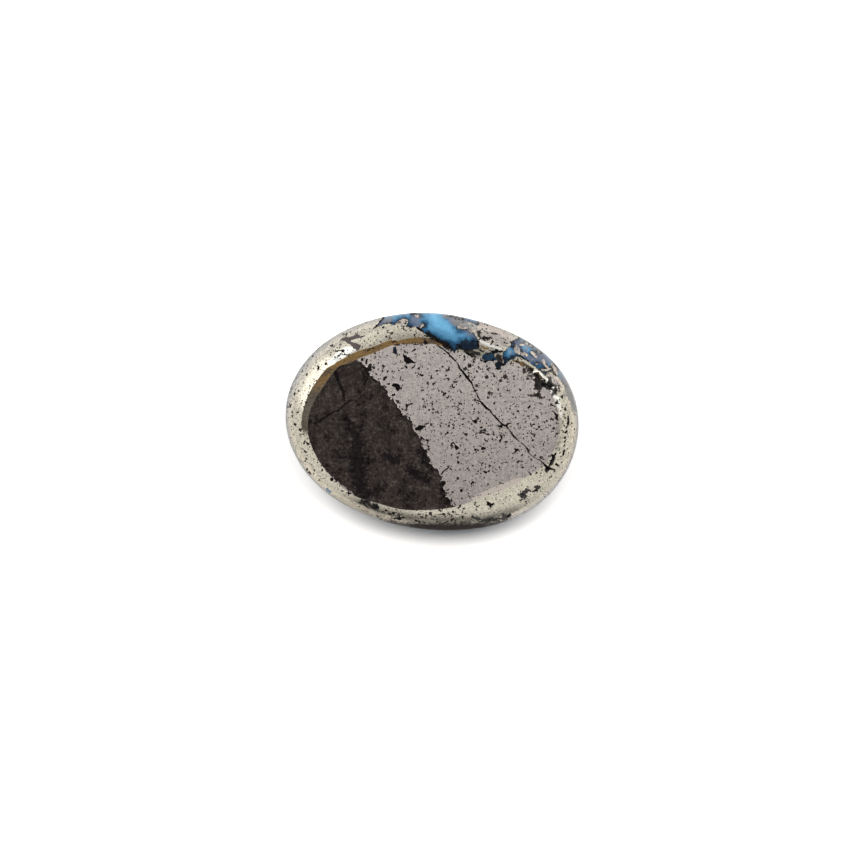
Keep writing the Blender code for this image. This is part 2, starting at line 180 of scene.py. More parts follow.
# The dark blots of the back that have a shape of their own.
BLOTS = (
    ((403.6, 355.8, 2.6), (405.6, 358.2, 4.6), (409.0, 360.6, 5.2), (411.6, 361.4, 3.4), (415.2, 362.8, 1.0)),
    ((404.6, 361.0, 2.6), (408.6, 363.0, 2.2)),
    ((400.7, 360.2, 0.8), (403.4, 360.2, 1.2)),
    ((404.2, 350.0, 1.9), (405.4, 352.8, 1.2)),
    ((412.2, 352.0, 1.1), (414.4, 349.6, 2.3)),
    ((405.0, 365.9, 1.2), (406.8, 367.5, 2.1)),
    ((411.8, 367.8, 1.6), (413.6, 367.4, 1.4), (414.6, 365.6, 1.0)),
    ((418.5, 368.5, 1.8), (420.4, 366.6, 1.0)),
    ((425.4, 366.6, 0.8), (428.2, 369.2, 1.9)),
    ((417.2, 372.6, 1.0), (419.0, 374.6, 1.4), (422.2, 375.1, 2.6)),
    ((416.5, 375.6, 0.9), (418.6, 374.8, 1.0)),
    ((431.3, 375.6, 1.0), (430.7, 378.3, 2.1)),
    ((432.8, 384.0, 1.6), (435.6, 381.8, 1.2)),
    ((431.5, 390.1, 1.2), (433.3, 389.3, 1.9)),
    ((383.8, 379.5, 3.0), (386.0, 377.9, 3.0)),
    ((387.5, 384.2, 1.4), (389.8, 383.8, 1.6)),
    ((392.0, 385.5, 1.6), (395.4, 384.9, 4.4), (398.2, 386.2, 4.2), (397.8, 388.6, 5.0)),
    ((402.0, 384.8, 1.5), (402.8, 385.6, 1.0)),
    ((401.8, 386.8, 0.9), (401.0, 389.8, 1.4)),
    ((400.3, 376.2, 0.9), (400.5, 379.6, 1.0)),
    ((392.3, 395.3, 1.8), (394.5, 394.4, 2.0)),
    ((406.9, 404.9, 2.6), (406.6, 407.4, 2.4), (406.2, 409.6, 2.6)),
    ((408.0, 404.6, 1.4), (412.0, 403.7, 1.2)),
    ((424.3, 404.1, 1.3), (425.1, 402.6, 1.1)),
    ((431.2, 402.7, 1.3), (433.0, 405.0, 1.3)),
    ((424.2, 406.6, 1.0), (426.8, 408.0, 1.4)),
    ((431.5, 412.9, 1.4), (433.9, 412.7, 1.7)),
    ((362.4, 359.2, 1.8), (362.2, 361.0, 1.6)),
    ((367.0, 359.0, 1.2), (366.2, 363.0, 2.4)),
    ((382.8, 365.4, 1.4), (384.2, 366.4, 1.7)),
    ((376.3, 369.0, 1.1), (378.7, 369.3, 1.3)),
    ((382.8, 368.8, 1.1), (382.6, 371.4, 1.6)),
    ((443.4, 353.4, 1.4), (445.0, 353.9, 2.2)),
    ((452.6, 350.6, 1.6), (454.6, 352.7, 1.8)),
    ((449.0, 367.6, 1.8), (448.5, 369.8, 2.6)),
    ((444.8, 379.6, 1.0), (446.8, 377.9, 1.1), (448.5, 379.6, 1.9)),
    ((453.2, 383.6, 1.9), (451.4, 385.4, 1.6), (453.2, 387.6, 1.9)),
    ((440.6, 391.5, 1.2), (443.0, 391.9, 2.1)),
    ((443.6, 395.0, 2.3), (445.8, 393.0, 1.8)),
    ((468.7, 364.0, 1.4), (470.6, 366.6, 1.7)),
    ((472.3, 380.3, 1.3), (475.4, 376.9, 1.2)),
    ((493.4, 373.2, 1.1), (494.0, 376.8, 2.0)),
    ((503.2, 387.0, 1.1), (503.8, 388.6, 1.1)),
    ((507.6, 387.6, 0.9), (507.2, 390.2, 1.5)),
    ((500.1, 393.2, 0.9), (500.5, 395.9, 1.5)),
    ((495.0, 400.9, 1.5), (494.6, 403.7, 2.2)),
    ((514.2, 379.2, 1.3), (514.6, 382.0, 1.0)),
    ((459.3, 403.0, 1.2), (461.6, 404.4, 1.4)),
    ((459.4, 417.2, 1.2), (461.0, 416.0, 1.0)),
    ((471.8, 419.7, 1.6), (475.4, 421.8, 3.5)),
    ((475.4, 419.0, 1.4), (475.6, 421.0, 2.0)),
    ((478.4, 413.0, 1.0), (480.4, 415.0, 0.8)),
    ((519.0, 387.9, 1.0), (520.5, 390.5, 1.5)),
    ((528.0, 407.6, 1.3), (529.8, 406.4, 2.3)),
    ((540.0, 402.1, 1.2), (542.0, 404.5, 1.0)),
    ((550.0, 419.5, 1.4), (552.4, 419.3, 1.7)),
    ((554.2, 412.6, 2.0), (556.4, 415.4, 2.2), (557.4, 420.8, 1.6), (556.6, 422.6, 1.2)),
    ((552.3, 405.0, 1.6), (553.4, 406.2, 1.0)),
    ((425.8, 423.8, 1.3), (428.5, 423.3, 2.2)),
    ((416.4, 428.9, 3.2), (419.6, 427.8, 5.6), (422.6, 426.8, 3.4), (425.6, 426.4, 1.0)),
    ((421.2, 437.4, 1.7), (423.4, 438.7, 1.9)),
    ((426.4, 440.1, 1.6), (428.6, 440.3, 1.4)),
    ((427.8, 440.7, 1.8), (427.3, 443.3, 1.5)),
    ((441.4, 422.8, 1.1), (440.6, 425.1, 1.8), (441.4, 427.5, 1.0)),
    ((450.9, 444.1, 2.0), (453.0, 443.1, 1.9)),
    ((454.8, 444.2, 1.8), (456.0, 446.2, 3.4), (457.0, 448.4, 3.8)),
    ((450.5, 453.0, 1.2), (451.8, 454.9, 1.5)),
    ((457.7, 461.2, 1.8), (458.4, 463.2, 1.8)),
    ((461.4, 463.0, 1.8), (463.4, 461.2, 1.0)),
    ((471.6, 484.0, 2.2), (473.4, 482.5, 2.2)),
    ((460.4, 488.2, 2.1), (463.7, 487.6, 1.2)),
    ((461.6, 489.2, 2.4), (461.2, 491.2, 2.2)),
    ((458.7, 508.3, 2.0), (460.0, 506.0, 2.0)),
    ((462.4, 507.9, 1.0), (464.8, 508.6, 1.6)),
    ((476.6, 501.5, 1.0), (474.6, 503.2, 0.9), (474.8, 506.2, 1.2), (477.6, 507.3, 2.3)),
    ((475.8, 434.8, 1.4), (476.9, 432.7, 1.8)),
    ((479.3, 427.5, 1.2), (481.6, 427.4, 1.5)),
    ((485.8, 433.5, 1.7), (488.6, 434.6, 2.3)),
    ((484.8, 439.8, 1.1), (487.3, 441.2, 2.0)),
    ((475.1, 449.1, 1.6), (476.4, 451.6, 2.2)),
    ((480.4, 446.4, 1.9), (482.6, 449.0, 2.4)),
    ((483.4, 447.4, 1.1), (485.6, 448.2, 1.7)),
    ((481.6, 464.8, 1.3), (482.9, 462.8, 1.7)),
    ((484.0, 471.6, 2.0), (486.3, 472.7, 1.8), (489.2, 471.0, 2.1)),
    ((530.2, 422.8, 1.2), (531.2, 426.2, 1.7), (534.2, 424.0, 1.6)),
    ((535.4, 429.9, 1.3), (538.2, 428.8, 1.5), (540.0, 425.9, 1.2)),
    ((531.0, 433.2, 1.7), (534.2, 434.8, 2.1)),
    ((532.0, 437.4, 1.4), (532.5, 440.1, 1.8)),
    ((523.5, 438.7, 1.4), (526.2, 436.1, 1.1)),
    ((498.8, 433.9, 1.6), (501.6, 436.8, 2.0)),
    ((500.0, 440.6, 2.1), (501.6, 438.0, 1.1)),
    ((503.2, 434.0, 1.1), (505.0, 435.8, 1.1)),
    ((504.4, 441.1, 1.1), (506.0, 442.7, 1.7), (507.6, 441.4, 0.9)),
    ((514.4, 448.6, 1.4), (516.5, 450.4, 2.1), (518.4, 449.3, 1.2)),
    ((516.0, 451.6, 1.1), (513.8, 455.6, 0.9), (512.8, 457.2, 2.0)),
    ((517.6, 462.6, 2.0), (518.4, 461.2, 1.8), (522.2, 461.6, 1.1)),
    ((501.4, 463.2, 1.4), (502.4, 464.6, 1.2)),
    ((492.9, 466.9, 1.0), (492.3, 469.1, 1.5)),
    ((495.0, 466.9, 1.2), (496.9, 470.2, 1.0)),
    ((530.2, 473.7, 1.6), (530.6, 476.6, 1.3)),
    ((543.5, 443.6, 1.2), (543.7, 445.6, 1.2)),
    ((499.2, 482.2, 1.5), (501.0, 483.6, 1.9), (503.6, 483.3, 1.6)),
    ((488.0, 502.6, 2.6), (489.8, 504.4, 3.6), (490.6, 506.6, 2.4)),
    ((490.0, 505.0, 3.0), (494.4, 504.4, 2.2)),
    ((486.6, 505.2, 1.2), (488.4, 504.8, 1.6)),
)

# The plain round specks: across, down and width.
SPECKS = (
    (401.3, 349.4, 1.5), (406.0, 345.6, 1.1), (437.0, 370.6, 2.3), (437.7, 388.3, 1.4), (431.9, 394.2, 1.2),
    (402.3, 409.2, 1.7), (423.3, 399.3, 1.6), (428.5, 402.3, 1.6), (434.8, 404.7, 1.4), (422.3, 409.0, 1.4),
    (433.3, 409.3, 1.7), (433.0, 418.0, 1.4), (438.6, 417.5, 1.4), (374.0, 361.9, 1.9), (376.3, 357.0, 1.4),
    (381.0, 356.3, 1.4), (382.5, 352.7, 1.4), (379.0, 355.6, 1.2), (391.4, 357.0, 1.3), (395.8, 363.7, 1.3),
    (400.0, 362.3, 1.3), (398.7, 370.0, 1.4), (423.0, 353.0, 1.4), (416.0, 356.3, 1.3), (432.3, 357.3, 1.2),
    (378.0, 379.0, 2.2), (382.3, 383.0, 1.5), (385.0, 386.2, 2.2), (387.4, 395.8, 1.8), (388.4, 398.0, 1.6),
    (449.0, 353.6, 1.9), (450.7, 351.0, 2.0), (457.7, 352.0, 2.2), (442.7, 366.4, 1.8), (453.2, 371.4, 1.8),
    (460.3, 375.6, 1.6), (457.3, 381.4, 1.9), (447.7, 397.6, 2.1), (448.8, 391.3, 1.2), (453.0, 392.3, 1.2),
    (464.7, 356.3, 2.0), (474.0, 361.8, 1.5), (482.7, 372.3, 1.7), (482.3, 377.4, 1.6), (487.0, 366.2, 1.9),
    (489.3, 367.8, 2.1), (491.4, 382.3, 1.5), (496.3, 382.8, 1.5), (487.3, 386.3, 1.4), (494.3, 389.3, 1.6),
    (498.3, 389.3, 1.9), (509.4, 390.3, 1.3), (512.7, 397.3, 1.7), (514.0, 403.8, 1.6), (505.0, 371.8, 1.9),
    (506.8, 381.0, 1.2), (518.0, 410.7, 1.7), (515.4, 417.2, 1.6), (501.6, 415.5, 1.8), (466.7, 394.3, 1.4),
    (456.0, 401.8, 1.2), (455.7, 404.8, 1.1), (465.3, 412.8, 1.5), (469.8, 412.8, 1.2), (465.3, 418.0, 1.4),
    (468.4, 421.6, 1.4), (479.8, 421.2, 1.6), (472.0, 424.2, 1.8), (529.7, 382.3, 1.5), (525.4, 402.8, 1.3),
    (523.0, 397.3, 1.3), (544.0, 397.6, 1.5), (535.7, 412.2, 1.2), (537.0, 416.4, 1.3), (545.7, 412.8, 1.2),
    (528.6, 416.0, 1.6), (547.0, 420.6, 1.8), (544.3, 422.3, 1.4), (545.7, 425.8, 1.3), (549.8, 400.4, 1.7),
    (520.6, 427.4, 2.1), (527.3, 424.6, 1.4), (414.7, 425.6, 1.9), (431.4, 431.0, 1.6), (427.6, 431.4, 1.5),
    (438.6, 431.4, 1.2), (449.3, 426.1, 2.1), (449.6, 422.5, 1.4), (447.9, 432.4, 1.9), (445.7, 434.3, 1.6),
    (428.8, 446.5, 2.0), (459.0, 452.9, 2.1), (457.5, 457.2, 1.9), (459.5, 470.0, 1.7), (455.4, 470.0, 1.4),
    (457.8, 478.4, 3.0), (465.7, 480.4, 1.9), (468.0, 485.2, 1.4), (452.5, 492.2, 1.9), (447.8, 489.8, 2.7),
    (473.6, 496.4, 1.7), (461.4, 498.5, 2.0), (469.6, 499.3, 1.5), (451.2, 500.8, 2.6), (454.4, 503.4, 2.0),
    (465.1, 433.9, 2.5), (480.6, 431.5, 1.8), (485.7, 427.7, 2.0), (472.1, 424.3, 1.8), (473.4, 430.2, 1.4),
    (462.1, 442.4, 1.8), (483.2, 457.9, 1.4), (480.7, 467.5, 1.4), (485.0, 467.6, 1.3), (478.2, 471.5, 1.8),
    (477.4, 474.0, 1.8), (480.9, 474.0, 2.1), (488.2, 484.0, 2.2), (487.5, 489.6, 1.8), (468.2, 467.4, 1.2),
    (541.4, 429.6, 1.8), (529.6, 430.4, 1.4), (495.4, 439.7, 1.6), (509.3, 438.2, 1.3), (490.7, 429.4, 1.4),
    (493.3, 432.4, 1.3), (490.7, 446.5, 1.5), (522.2, 454.7, 1.9), (496.4, 454.3, 1.5), (505.7, 462.1, 2.0),
    (506.4, 458.3, 1.3), (514.3, 461.3, 1.8), (499.3, 467.6, 1.7), (512.5, 466.4, 1.5), (520.0, 465.4, 1.3),
    (522.9, 467.5, 2.1), (527.2, 470.3, 1.7), (536.3, 472.9, 2.3), (533.2, 446.4, 1.9), (542.6, 450.7, 1.4),
    (543.0, 458.6, 1.7), (536.5, 465.4, 1.3), (541.4, 464.0, 1.6), (541.8, 470.1, 1.4), (494.3, 465.5, 1.3),
    (501.4, 455.2, 1.1), (549.0, 429.4, 1.6), (553.0, 428.8, 1.7), (547.6, 440.2, 1.2), (558.4, 433.0, 1.4),
)

# Dark marks on the rim, outside the flat back.
RIM_MARKS = (
    ((335.0, 351.6, 1.0), (341.0, 350.6, 1.8), (344.6, 350.0, 1.0)),
    ((336.0, 358.6, 0.9), (340.0, 354.4, 1.7), (343.2, 351.4, 1.7)),
    ((346.0, 355.6, 1.4), (348.2, 353.8, 2.2)),
    ((338.4, 345.6, 1.0), (340.4, 344.4, 1.8)),
    ((336.4, 347.2, 1.8),),
    ((329.8, 359.4, 1.6),),
    ((317.4, 365.4, 1.0), (318.6, 367.2, 1.6), (317.8, 369.8, 2.1)),
    ((306.4, 375.0, 1.4), (308.0, 373.4, 1.8)),
    ((303.4, 382.5, 1.7),),
    ((298.8, 391.2, 1.9),),
    ((294.8, 392.2, 1.4), (294.1, 394.2, 2.2)),
    ((309.8, 388.3, 1.3),),
    ((308.2, 395.3, 1.7),),
    ((305.2, 401.6, 1.6), (306.4, 402.8, 2.0)),
    ((303.7, 406.4, 2.0),),
    ((297.7, 412.0, 1.9),),
    ((292.2, 416.0, 2.2),),
    ((294.2, 423.8, 1.4), (295.6, 424.9, 1.9)),
    ((294.4, 410.0, 1.4),),
    ((300.5, 434.7, 1.7),),
    ((303.2, 434.2, 1.6),),
    ((304.5, 441.0, 1.6), (304.1, 443.2, 2.2)),
    ((306.8, 442.2, 1.7), (308.4, 444.2, 1.5)),
    ((304.0, 450.9, 1.4), (305.8, 452.4, 1.9)),
    ((306.3, 448.6, 1.4),),
    ((307.0, 469.6, 2.1),),
    ((308.6, 472.0, 1.6), (310.6, 473.8, 2.0)),
    ((319.4, 480.2, 2.1),),
    ((322.5, 468.6, 1.3), (321.9, 470.7, 2.3)),
    ((332.0, 479.4, 3.7),),
    ((334.5, 482.1, 1.4), (336.9, 481.3, 1.6)),
    ((338.0, 489.1, 1.9),),
    ((341.0, 490.2, 1.3), (343.0, 491.4, 1.4)),
    ((346.0, 492.4, 1.4), (348.2, 493.0, 2.2), (350.6, 493.3, 1.7)),
    ((359.0, 502.2, 1.4), (361.2, 503.8, 1.4)),
    ((362.6, 502.6, 1.2), (365.2, 505.4, 1.5), (367.4, 507.0, 1.2)),
    ((386.6, 510.4, 1.9),),
    ((393.0, 513.4, 2.6), (394.2, 513.2, 2.8)),
    ((400.6, 514.3, 1.5),),
    ((383.0, 511.6, 1.7),),
    ((394.0, 518.2, 2.0), (398.6, 518.2, 3.0), (404.0, 517.2, 1.2)),
    ((418.6, 517.8, 1.6),),
    ((422.8, 514.8, 2.2), (422.5, 517.4, 1.6)),
    ((425.4, 518.4, 1.9),),
    ((418.6, 520.8, 2.1),),
    ((432.0, 514.6, 1.7),),
    ((434.0, 516.5, 1.8), (436.4, 516.2, 1.2)),
    ((453.2, 511.6, 1.9),),
    ((465.6, 513.6, 1.7),),
    ((462.6, 517.2, 2.6),),
    ((508.0, 516.4, 2.4), (510.2, 512.8, 1.3)),
    ((532.6, 491.6, 1.8), (536.4, 490.2, 2.0)),
    ((496.4, 500.0, 1.9),),
    ((485.0, 499.4, 1.4),),
    ((556.4, 464.2, 3.2), (558.6, 466.6, 1.6)),
    ((550.9, 475.6, 1.6), (550.3, 478.2, 2.1)),
    ((547.1, 479.8, 1.4),),
    ((553.6, 472.0, 1.3), (555.0, 469.6, 1.8)),
    ((564.2, 449.6, 1.9), (563.5, 454.8, 2.3)),
    ((567.0, 450.8, 1.6),),
    ((560.7, 456.2, 2.0),),
    ((561.8, 462.0, 1.4),),
    ((559.4, 452.8, 2.0),),
    ((556.4, 402.6, 3.4),),
    ((565.4, 407.8, 1.6), (565.4, 409.2, 3.0)),
    ((560.8, 410.8, 1.7),),
    ((562.4, 407.2, 1.5),),
    ((563.8, 414.0, 1.4), (565.4, 418.4, 2.2)),
    ((568.2, 416.4, 1.4), (568.4, 420.6, 2.2), (568.0, 424.8, 2.2)),
    ((565.4, 433.2, 2.0), (566.6, 431.0, 1.9)),
    ((568.6, 435.8, 1.7),),
    ((571.8, 423.2, 1.5),),
    ((386.8, 330.0, 1.2), (388.2, 330.8, 2.0)),
    ((374.4, 342.6, 1.8),),
    ((362.4, 346.8, 1.8),),
    ((368.6, 339.0, 1.4),),
    ((381.6, 341.8, 1.4),),
    ((391.6, 338.6, 1.5),),
    ((418.6, 336.8, 1.6),),
    ((391.8, 325.4, 1.6),),
    ((403.6, 329.2, 1.6),),
    ((372.4, 329.4, 0.9), (376.4, 326.4, 1.4)),
    ((506.0, 343.4, 1.1), (510.0, 343.0, 1.1)),
    ((487.0, 333.2, 0.9), (492.0, 333.2, 1.4), (497.0, 334.0, 1.4)),
    ((485.0, 338.0, 1.8), (490.0, 338.0, 1.6)),
    ((492.0, 342.8, 1.8),),
    ((497.0, 343.6, 1.6),),
    ((495.6, 347.4, 1.4),),
    ((424.6, 340.2, 2.4), (425.8, 343.6, 3.2)),
    ((391.4, 341.4, 1.0), (395.0, 341.6, 1.4), (397.4, 343.2, 1.2)),
)

# Dark lines and corners along the border of the turquoise.
BORDER_MARKS = (
    ((483.4, 338.6, 2.0), (484.4, 339.8, 1.2)),
    ((487.6, 339.6, 1.8),),
    ((492.6, 341.2, 2.0), (494.4, 342.0, 1.4)),
    ((491.2, 344.0, 2.2), (492.6, 345.0, 1.4)),
    ((497.4, 345.4, 2.0),),
    ((495.4, 349.0, 1.4), (499.0, 350.6, 1.0)),
    ((364.0, 351.0, 0.9), (378.0, 347.6, 1.0)),
    ((394.0, 345.2, 1.0), (404.0, 344.2, 1.2), (424.0, 344.4, 1.0)),
    ((448.0, 344.0, 2.6), (450.6, 343.4, 1.6)),
    ((457.6, 345.0, 2.0), (460.4, 346.6, 2.6), (458.4, 349.6, 2.0)),
    ((465.6, 351.6, 1.6), (467.0, 353.2, 2.2), (470.6, 355.2, 2.2), (474.0, 356.6, 1.2), (476.6, 358.4, 0.9),
     (480.4, 358.6, 1.0)),
    ((471.6, 354.4, 1.1), (475.0, 353.2, 1.5), (480.0, 352.6, 1.6), (483.6, 351.6, 1.6)),
    ((477.2, 340.6, 1.4), (478.2, 345.0, 2.2), (479.6, 349.4, 2.0), (483.0, 352.0, 2.0)),
    ((489.8, 350.4, 1.4), (492.8, 352.0, 3.4), (497.2, 351.8, 2.4), (502.0, 351.4, 2.0)),
    ((494.6, 356.6, 1.2), (498.0, 357.4, 1.6), (501.6, 358.8, 1.4)),
    ((500.4, 363.6, 1.4), (503.8, 365.2, 2.2)),
    ((495.0, 368.8, 1.4), (500.6, 369.6, 1.4)),
    ((516.0, 356.0, 1.4), (518.2, 358.6, 1.8)),
    ((516.2, 361.8, 1.8), (518.0, 362.4, 1.4)),
    ((480.8, 360.0, 1.2), (485.6, 361.6, 2.4), (487.4, 361.0, 1.2)),
    ((492.8, 360.8, 1.6), (494.4, 363.2, 1.4)),
    ((397.0, 325.4, 1.4), (400.0, 327.2, 1.6), (403.4, 325.4, 1.2), (406.0, 322.8, 1.2)),
    ((403.6, 326.6, 1.6), (404.2, 330.0, 1.2)),
    ((416.4, 327.4, 1.6), (419.6, 329.4, 2.0), (423.4, 331.6, 1.4)),
    ((409.6, 327.4, 1.4), (412.0, 327.2, 1.2)),
    ((377.0, 325.6, 1.4), (380.6, 321.4, 1.6), (384.0, 317.2, 1.2)),
    ((423.4, 335.4, 1.6), (427.4, 336.2, 1.8)),
    ((429.6, 337.6, 1.6), (432.4, 339.6, 2.0)),
    ((435.4, 338.0, 2.0), (440.2, 341.2, 1.6), (445.0, 342.4, 1.4)),
    ((444.0, 345.0, 1.4), (448.0, 347.0, 1.8), (453.0, 351.0, 1.2)),
    ((398.4, 320.8, 0.8), (400.2, 322.6, 1.6)),
    ((519.2, 355.6, 1.0), (524.0, 358.6, 1.4), (528.4, 361.6, 1.2)),
    ((550.2, 370.8, 1.0), (553.4, 373.6, 1.2), (556.6, 375.6, 0.8)),
    ((410.6, 314.0, 1.6), (416.0, 313.4, 1.0)),
    ((520.8, 349.6, 1.2), (523.0, 352.0, 1.0)),
)

# Where the turquoise shows among the metal: outlines that run past the stone's own edge.
TURQUOISE_AREAS = (
    ((409.0, 300.0), (409.4, 317.0), (411.0, 321.6), (413.2, 326.6), (415.6, 326.2), (418.4, 329.2),
     (422.6, 330.8), (425.4, 334.2), (430.0, 337.4), (436.0, 338.0), (441.0, 341.0), (447.0, 344.4),
     (451.0, 349.6), (454.6, 351.6), (457.6, 348.4), (461.6, 349.6), (466.0, 351.0), (472.0, 349.4),
     (478.4, 349.6), (479.2, 342.6), (477.4, 338.0), (474.0, 333.4), (469.6, 329.4), (461.6, 328.4),
     (457.0, 326.2), (461.0, 323.0), (470.0, 322.4), (477.0, 325.4), (479.0, 322.0), (470.0, 300.0)),
    ((384.0, 300.0), (381.4, 319.6), (376.0, 326.4), (380.6, 325.6), (384.4, 324.0), (388.8, 323.4),
     (394.0, 324.4), (398.0, 322.0), (404.0, 320.0), (408.4, 322.0), (405.0, 326.4), (409.4, 327.6),
     (413.4, 326.8), (412.0, 316.0), (412.0, 300.0)),
    ((482.2, 355.4), (486.0, 352.4), (491.0, 352.2), (495.4, 352.6), (494.2, 356.0), (497.0, 359.8),
     (491.0, 360.8), (485.0, 360.4), (481.4, 359.4)),
    ((503.0, 350.4), (506.0, 349.6), (509.0, 347.0), (512.4, 346.2), (514.0, 350.4), (515.6, 355.2),
     (514.4, 358.6), (509.8, 359.8), (507.0, 361.4), (505.4, 365.2), (503.6, 365.4), (504.0, 360.6),
     (502.4, 357.0)),
    ((495.4, 363.4), (498.0, 361.0), (500.6, 363.2), (503.4, 364.4), (501.2, 366.6), (500.4, 369.6),
     (496.4, 369.0)),
    ((511.0, 341.0), (518.4, 338.4), (520.0, 325.0), (600.0, 340.0), (600.0, 394.0), (574.4, 394.4),
     (569.8, 388.4), (564.6, 385.6), (560.6, 380.0), (556.4, 374.6), (551.6, 371.0), (549.0, 372.0),
     (546.4, 375.4), (542.4, 373.4), (538.6, 369.2), (533.0, 365.4), (527.4, 360.8), (521.0, 357.6),
     (516.4, 356.6), (514.4, 349.6), (510.4, 346.4)),
    ((392.8, 352.2), (394.0, 347.4), (395.2, 347.0), (396.8, 352.4), (398.6, 355.4), (396.4, 354.2)),
    ((325.0, 487.4), (328.4, 488.2), (331.6, 491.2), (331.0, 493.6), (327.4, 492.6)),
)

# Where that turquoise is darkest, near black, where it is bright up to its edge, where it is pale, and where a grey haze lies over it.
DEEP_BLUE = (
    ((429.0, 337.0, 2.4), (434.0, 339.0, 2.0), (444.0, 342.6, 3.0), (451.0, 348.6, 3.4)),
    ((458.0, 348.0, 6.0), (466.0, 346.4, 8.0), (476.0, 346.0, 7.0)),
    ((462.0, 342.0, 4.0), (474.0, 342.0, 6.0)),
    ((430.0, 334.0, 2.0), (433.0, 336.0, 2.4)),
    ((482.0, 358.4, 2.4), (486.0, 360.0, 1.6)),
    ((493.6, 359.6, 2.0), (495.6, 357.0, 2.4)),
    ((498.0, 365.8, 7.0),),
    ((503.4, 352.0, 2.0), (504.8, 364.0, 3.4)),
    ((514.6, 356.4, 3.4), (508.8, 360.0, 2.2)),
    ((394.8, 350.4, 5.0), (398.4, 355.0, 2.4)),
    ((396.0, 325.6, 1.2), (402.0, 327.4, 1.4), (406.4, 324.0, 1.4), (411.0, 327.0, 2.0)),
)
BRIGHT_BLUE = (
    ((434.0, 319.0, 8.0), (444.0, 325.0, 9.0), (452.0, 331.0, 6.0)),
)
PALE_BLUE = (
    ((509.6, 351.6, 5.0), (512.0, 354.6, 4.0)),
    ((524.6, 347.2, 4.4), (528.0, 349.4, 3.6)),
    ((547.6, 359.4, 1.8), (549.6, 363.4, 1.8)),
    ((559.6, 373.4, 3.4), (563.0, 379.0, 3.4)),
    ((325.4, 488.4, 3.0), (330.4, 491.6, 3.0)),
)
GREY_HAZE = (
    ((416.0, 318.0, 7.0), (414.0, 323.6, 7.0), (419.0, 325.4, 4.0)),
    ((379.0, 324.4, 3.0), (385.0, 320.4, 3.4), (389.0, 317.6, 2.0)),
    ((451.0, 320.0, 5.0), (459.0, 323.6, 5.0), (470.0, 324.4, 6.0)),
    ((459.0, 325.0, 3.0), (466.0, 330.6, 4.4), (472.0, 335.0, 5.4), (476.0, 339.0, 3.0)),
    ((515.0, 342.4, 5.0), (520.0, 349.0, 4.0), (530.0, 359.0, 6.0), (541.0, 358.0, 9.0), (548.0, 362.0, 6.0)),
    ((566.0, 384.0, 5.0), (572.0, 391.0, 6.0)),
)

# Grains and flakes of pyrite that lie in the turquoise.
FLAKES = (
    ((415.8, 315.6, 2.0), (418.6, 315.8, 2.2)),
    ((396.8, 324.0, 1.8), (399.6, 321.8, 3.2), (404.6, 320.2, 3.2), (407.4, 320.8, 2.0)),
    ((399.0, 325.2, 1.8), (403.0, 324.2, 2.0), (406.4, 321.8, 2.0)),
    ((420.6, 327.0, 2.6), (423.0, 325.2, 2.2)),
    ((447.6, 316.0, 0.9), (453.0, 316.8, 1.6)),
    ((455.6, 318.4, 1.8), (463.0, 319.6, 1.4)),
    ((458.2, 327.0, 2.0), (461.0, 327.8, 2.8)),
    ((463.4, 325.6, 1.8), (467.0, 326.6, 2.4), (470.0, 330.0, 2.4), (474.0, 333.0, 2.6), (477.6, 337.0, 3.2)),
    ((473.0, 327.2, 1.8), (478.0, 329.0, 3.4), (480.0, 334.0, 4.0)),
    ((480.0, 325.0, 4.0), (490.0, 331.0, 13.0), (500.0, 336.0, 13.0), (508.0, 339.6, 9.0)),
    ((482.0, 341.0, 7.0), (490.0, 344.2, 8.0), (499.6, 347.0, 6.0)),
    ((500.0, 342.0, 8.0), (507.0, 345.6, 5.0)),
    ((484.6, 347.6, 2.6), (489.0, 349.8, 1.8)),
    ((472.0, 355.0, 2.4), (478.0, 354.8, 3.4)),
    ((494.8, 353.8, 1.8), (499.0, 354.8, 2.6)),
    ((494.6, 361.6, 0.9), (499.0, 360.4, 1.2), (503.4, 360.8, 0.9)),
    ((515.6, 346.4, 3.4), (517.4, 350.2, 6.2), (519.6, 353.4, 3.6)),
    ((520.6, 345.0, 2.0), (523.4, 344.6, 2.2)),
    ((521.4, 347.6, 1.6),),
    ((522.8, 353.8, 4.6), (526.0, 354.8, 4.0)),
    ((531.4, 352.4, 3.8), (534.4, 354.8, 3.6), (536.4, 357.6, 2.2)),
    ((541.0, 369.4, 2.0), (546.0, 370.2, 3.6), (550.4, 368.6, 3.0)),
    ((532.6, 359.4, 1.6),),
    ((535.2, 363.4, 1.8), (537.0, 364.0, 1.9)),
    ((522.4, 357.8, 2.2), (524.4, 360.6, 2.0)),
    ((537.0, 350.8, 1.8), (541.0, 353.2, 1.8)),
    ((526.0, 342.8, 3.0), (532.0, 346.6, 2.0)),
    ((543.2, 360.8, 2.6), (545.0, 364.8, 3.2), (548.6, 368.4, 2.4)),
    ((547.6, 374.2, 3.4), (551.4, 376.2, 4.4), (555.6, 380.6, 5.4), (560.0, 385.4, 5.0)),
    ((552.4, 364.6, 2.6), (555.4, 369.6, 5.0), (557.0, 374.0, 2.6)),
    ((551.0, 367.0, 1.4), (556.0, 374.6, 1.2)),
    ((544.4, 333.0, 1.4),),
)

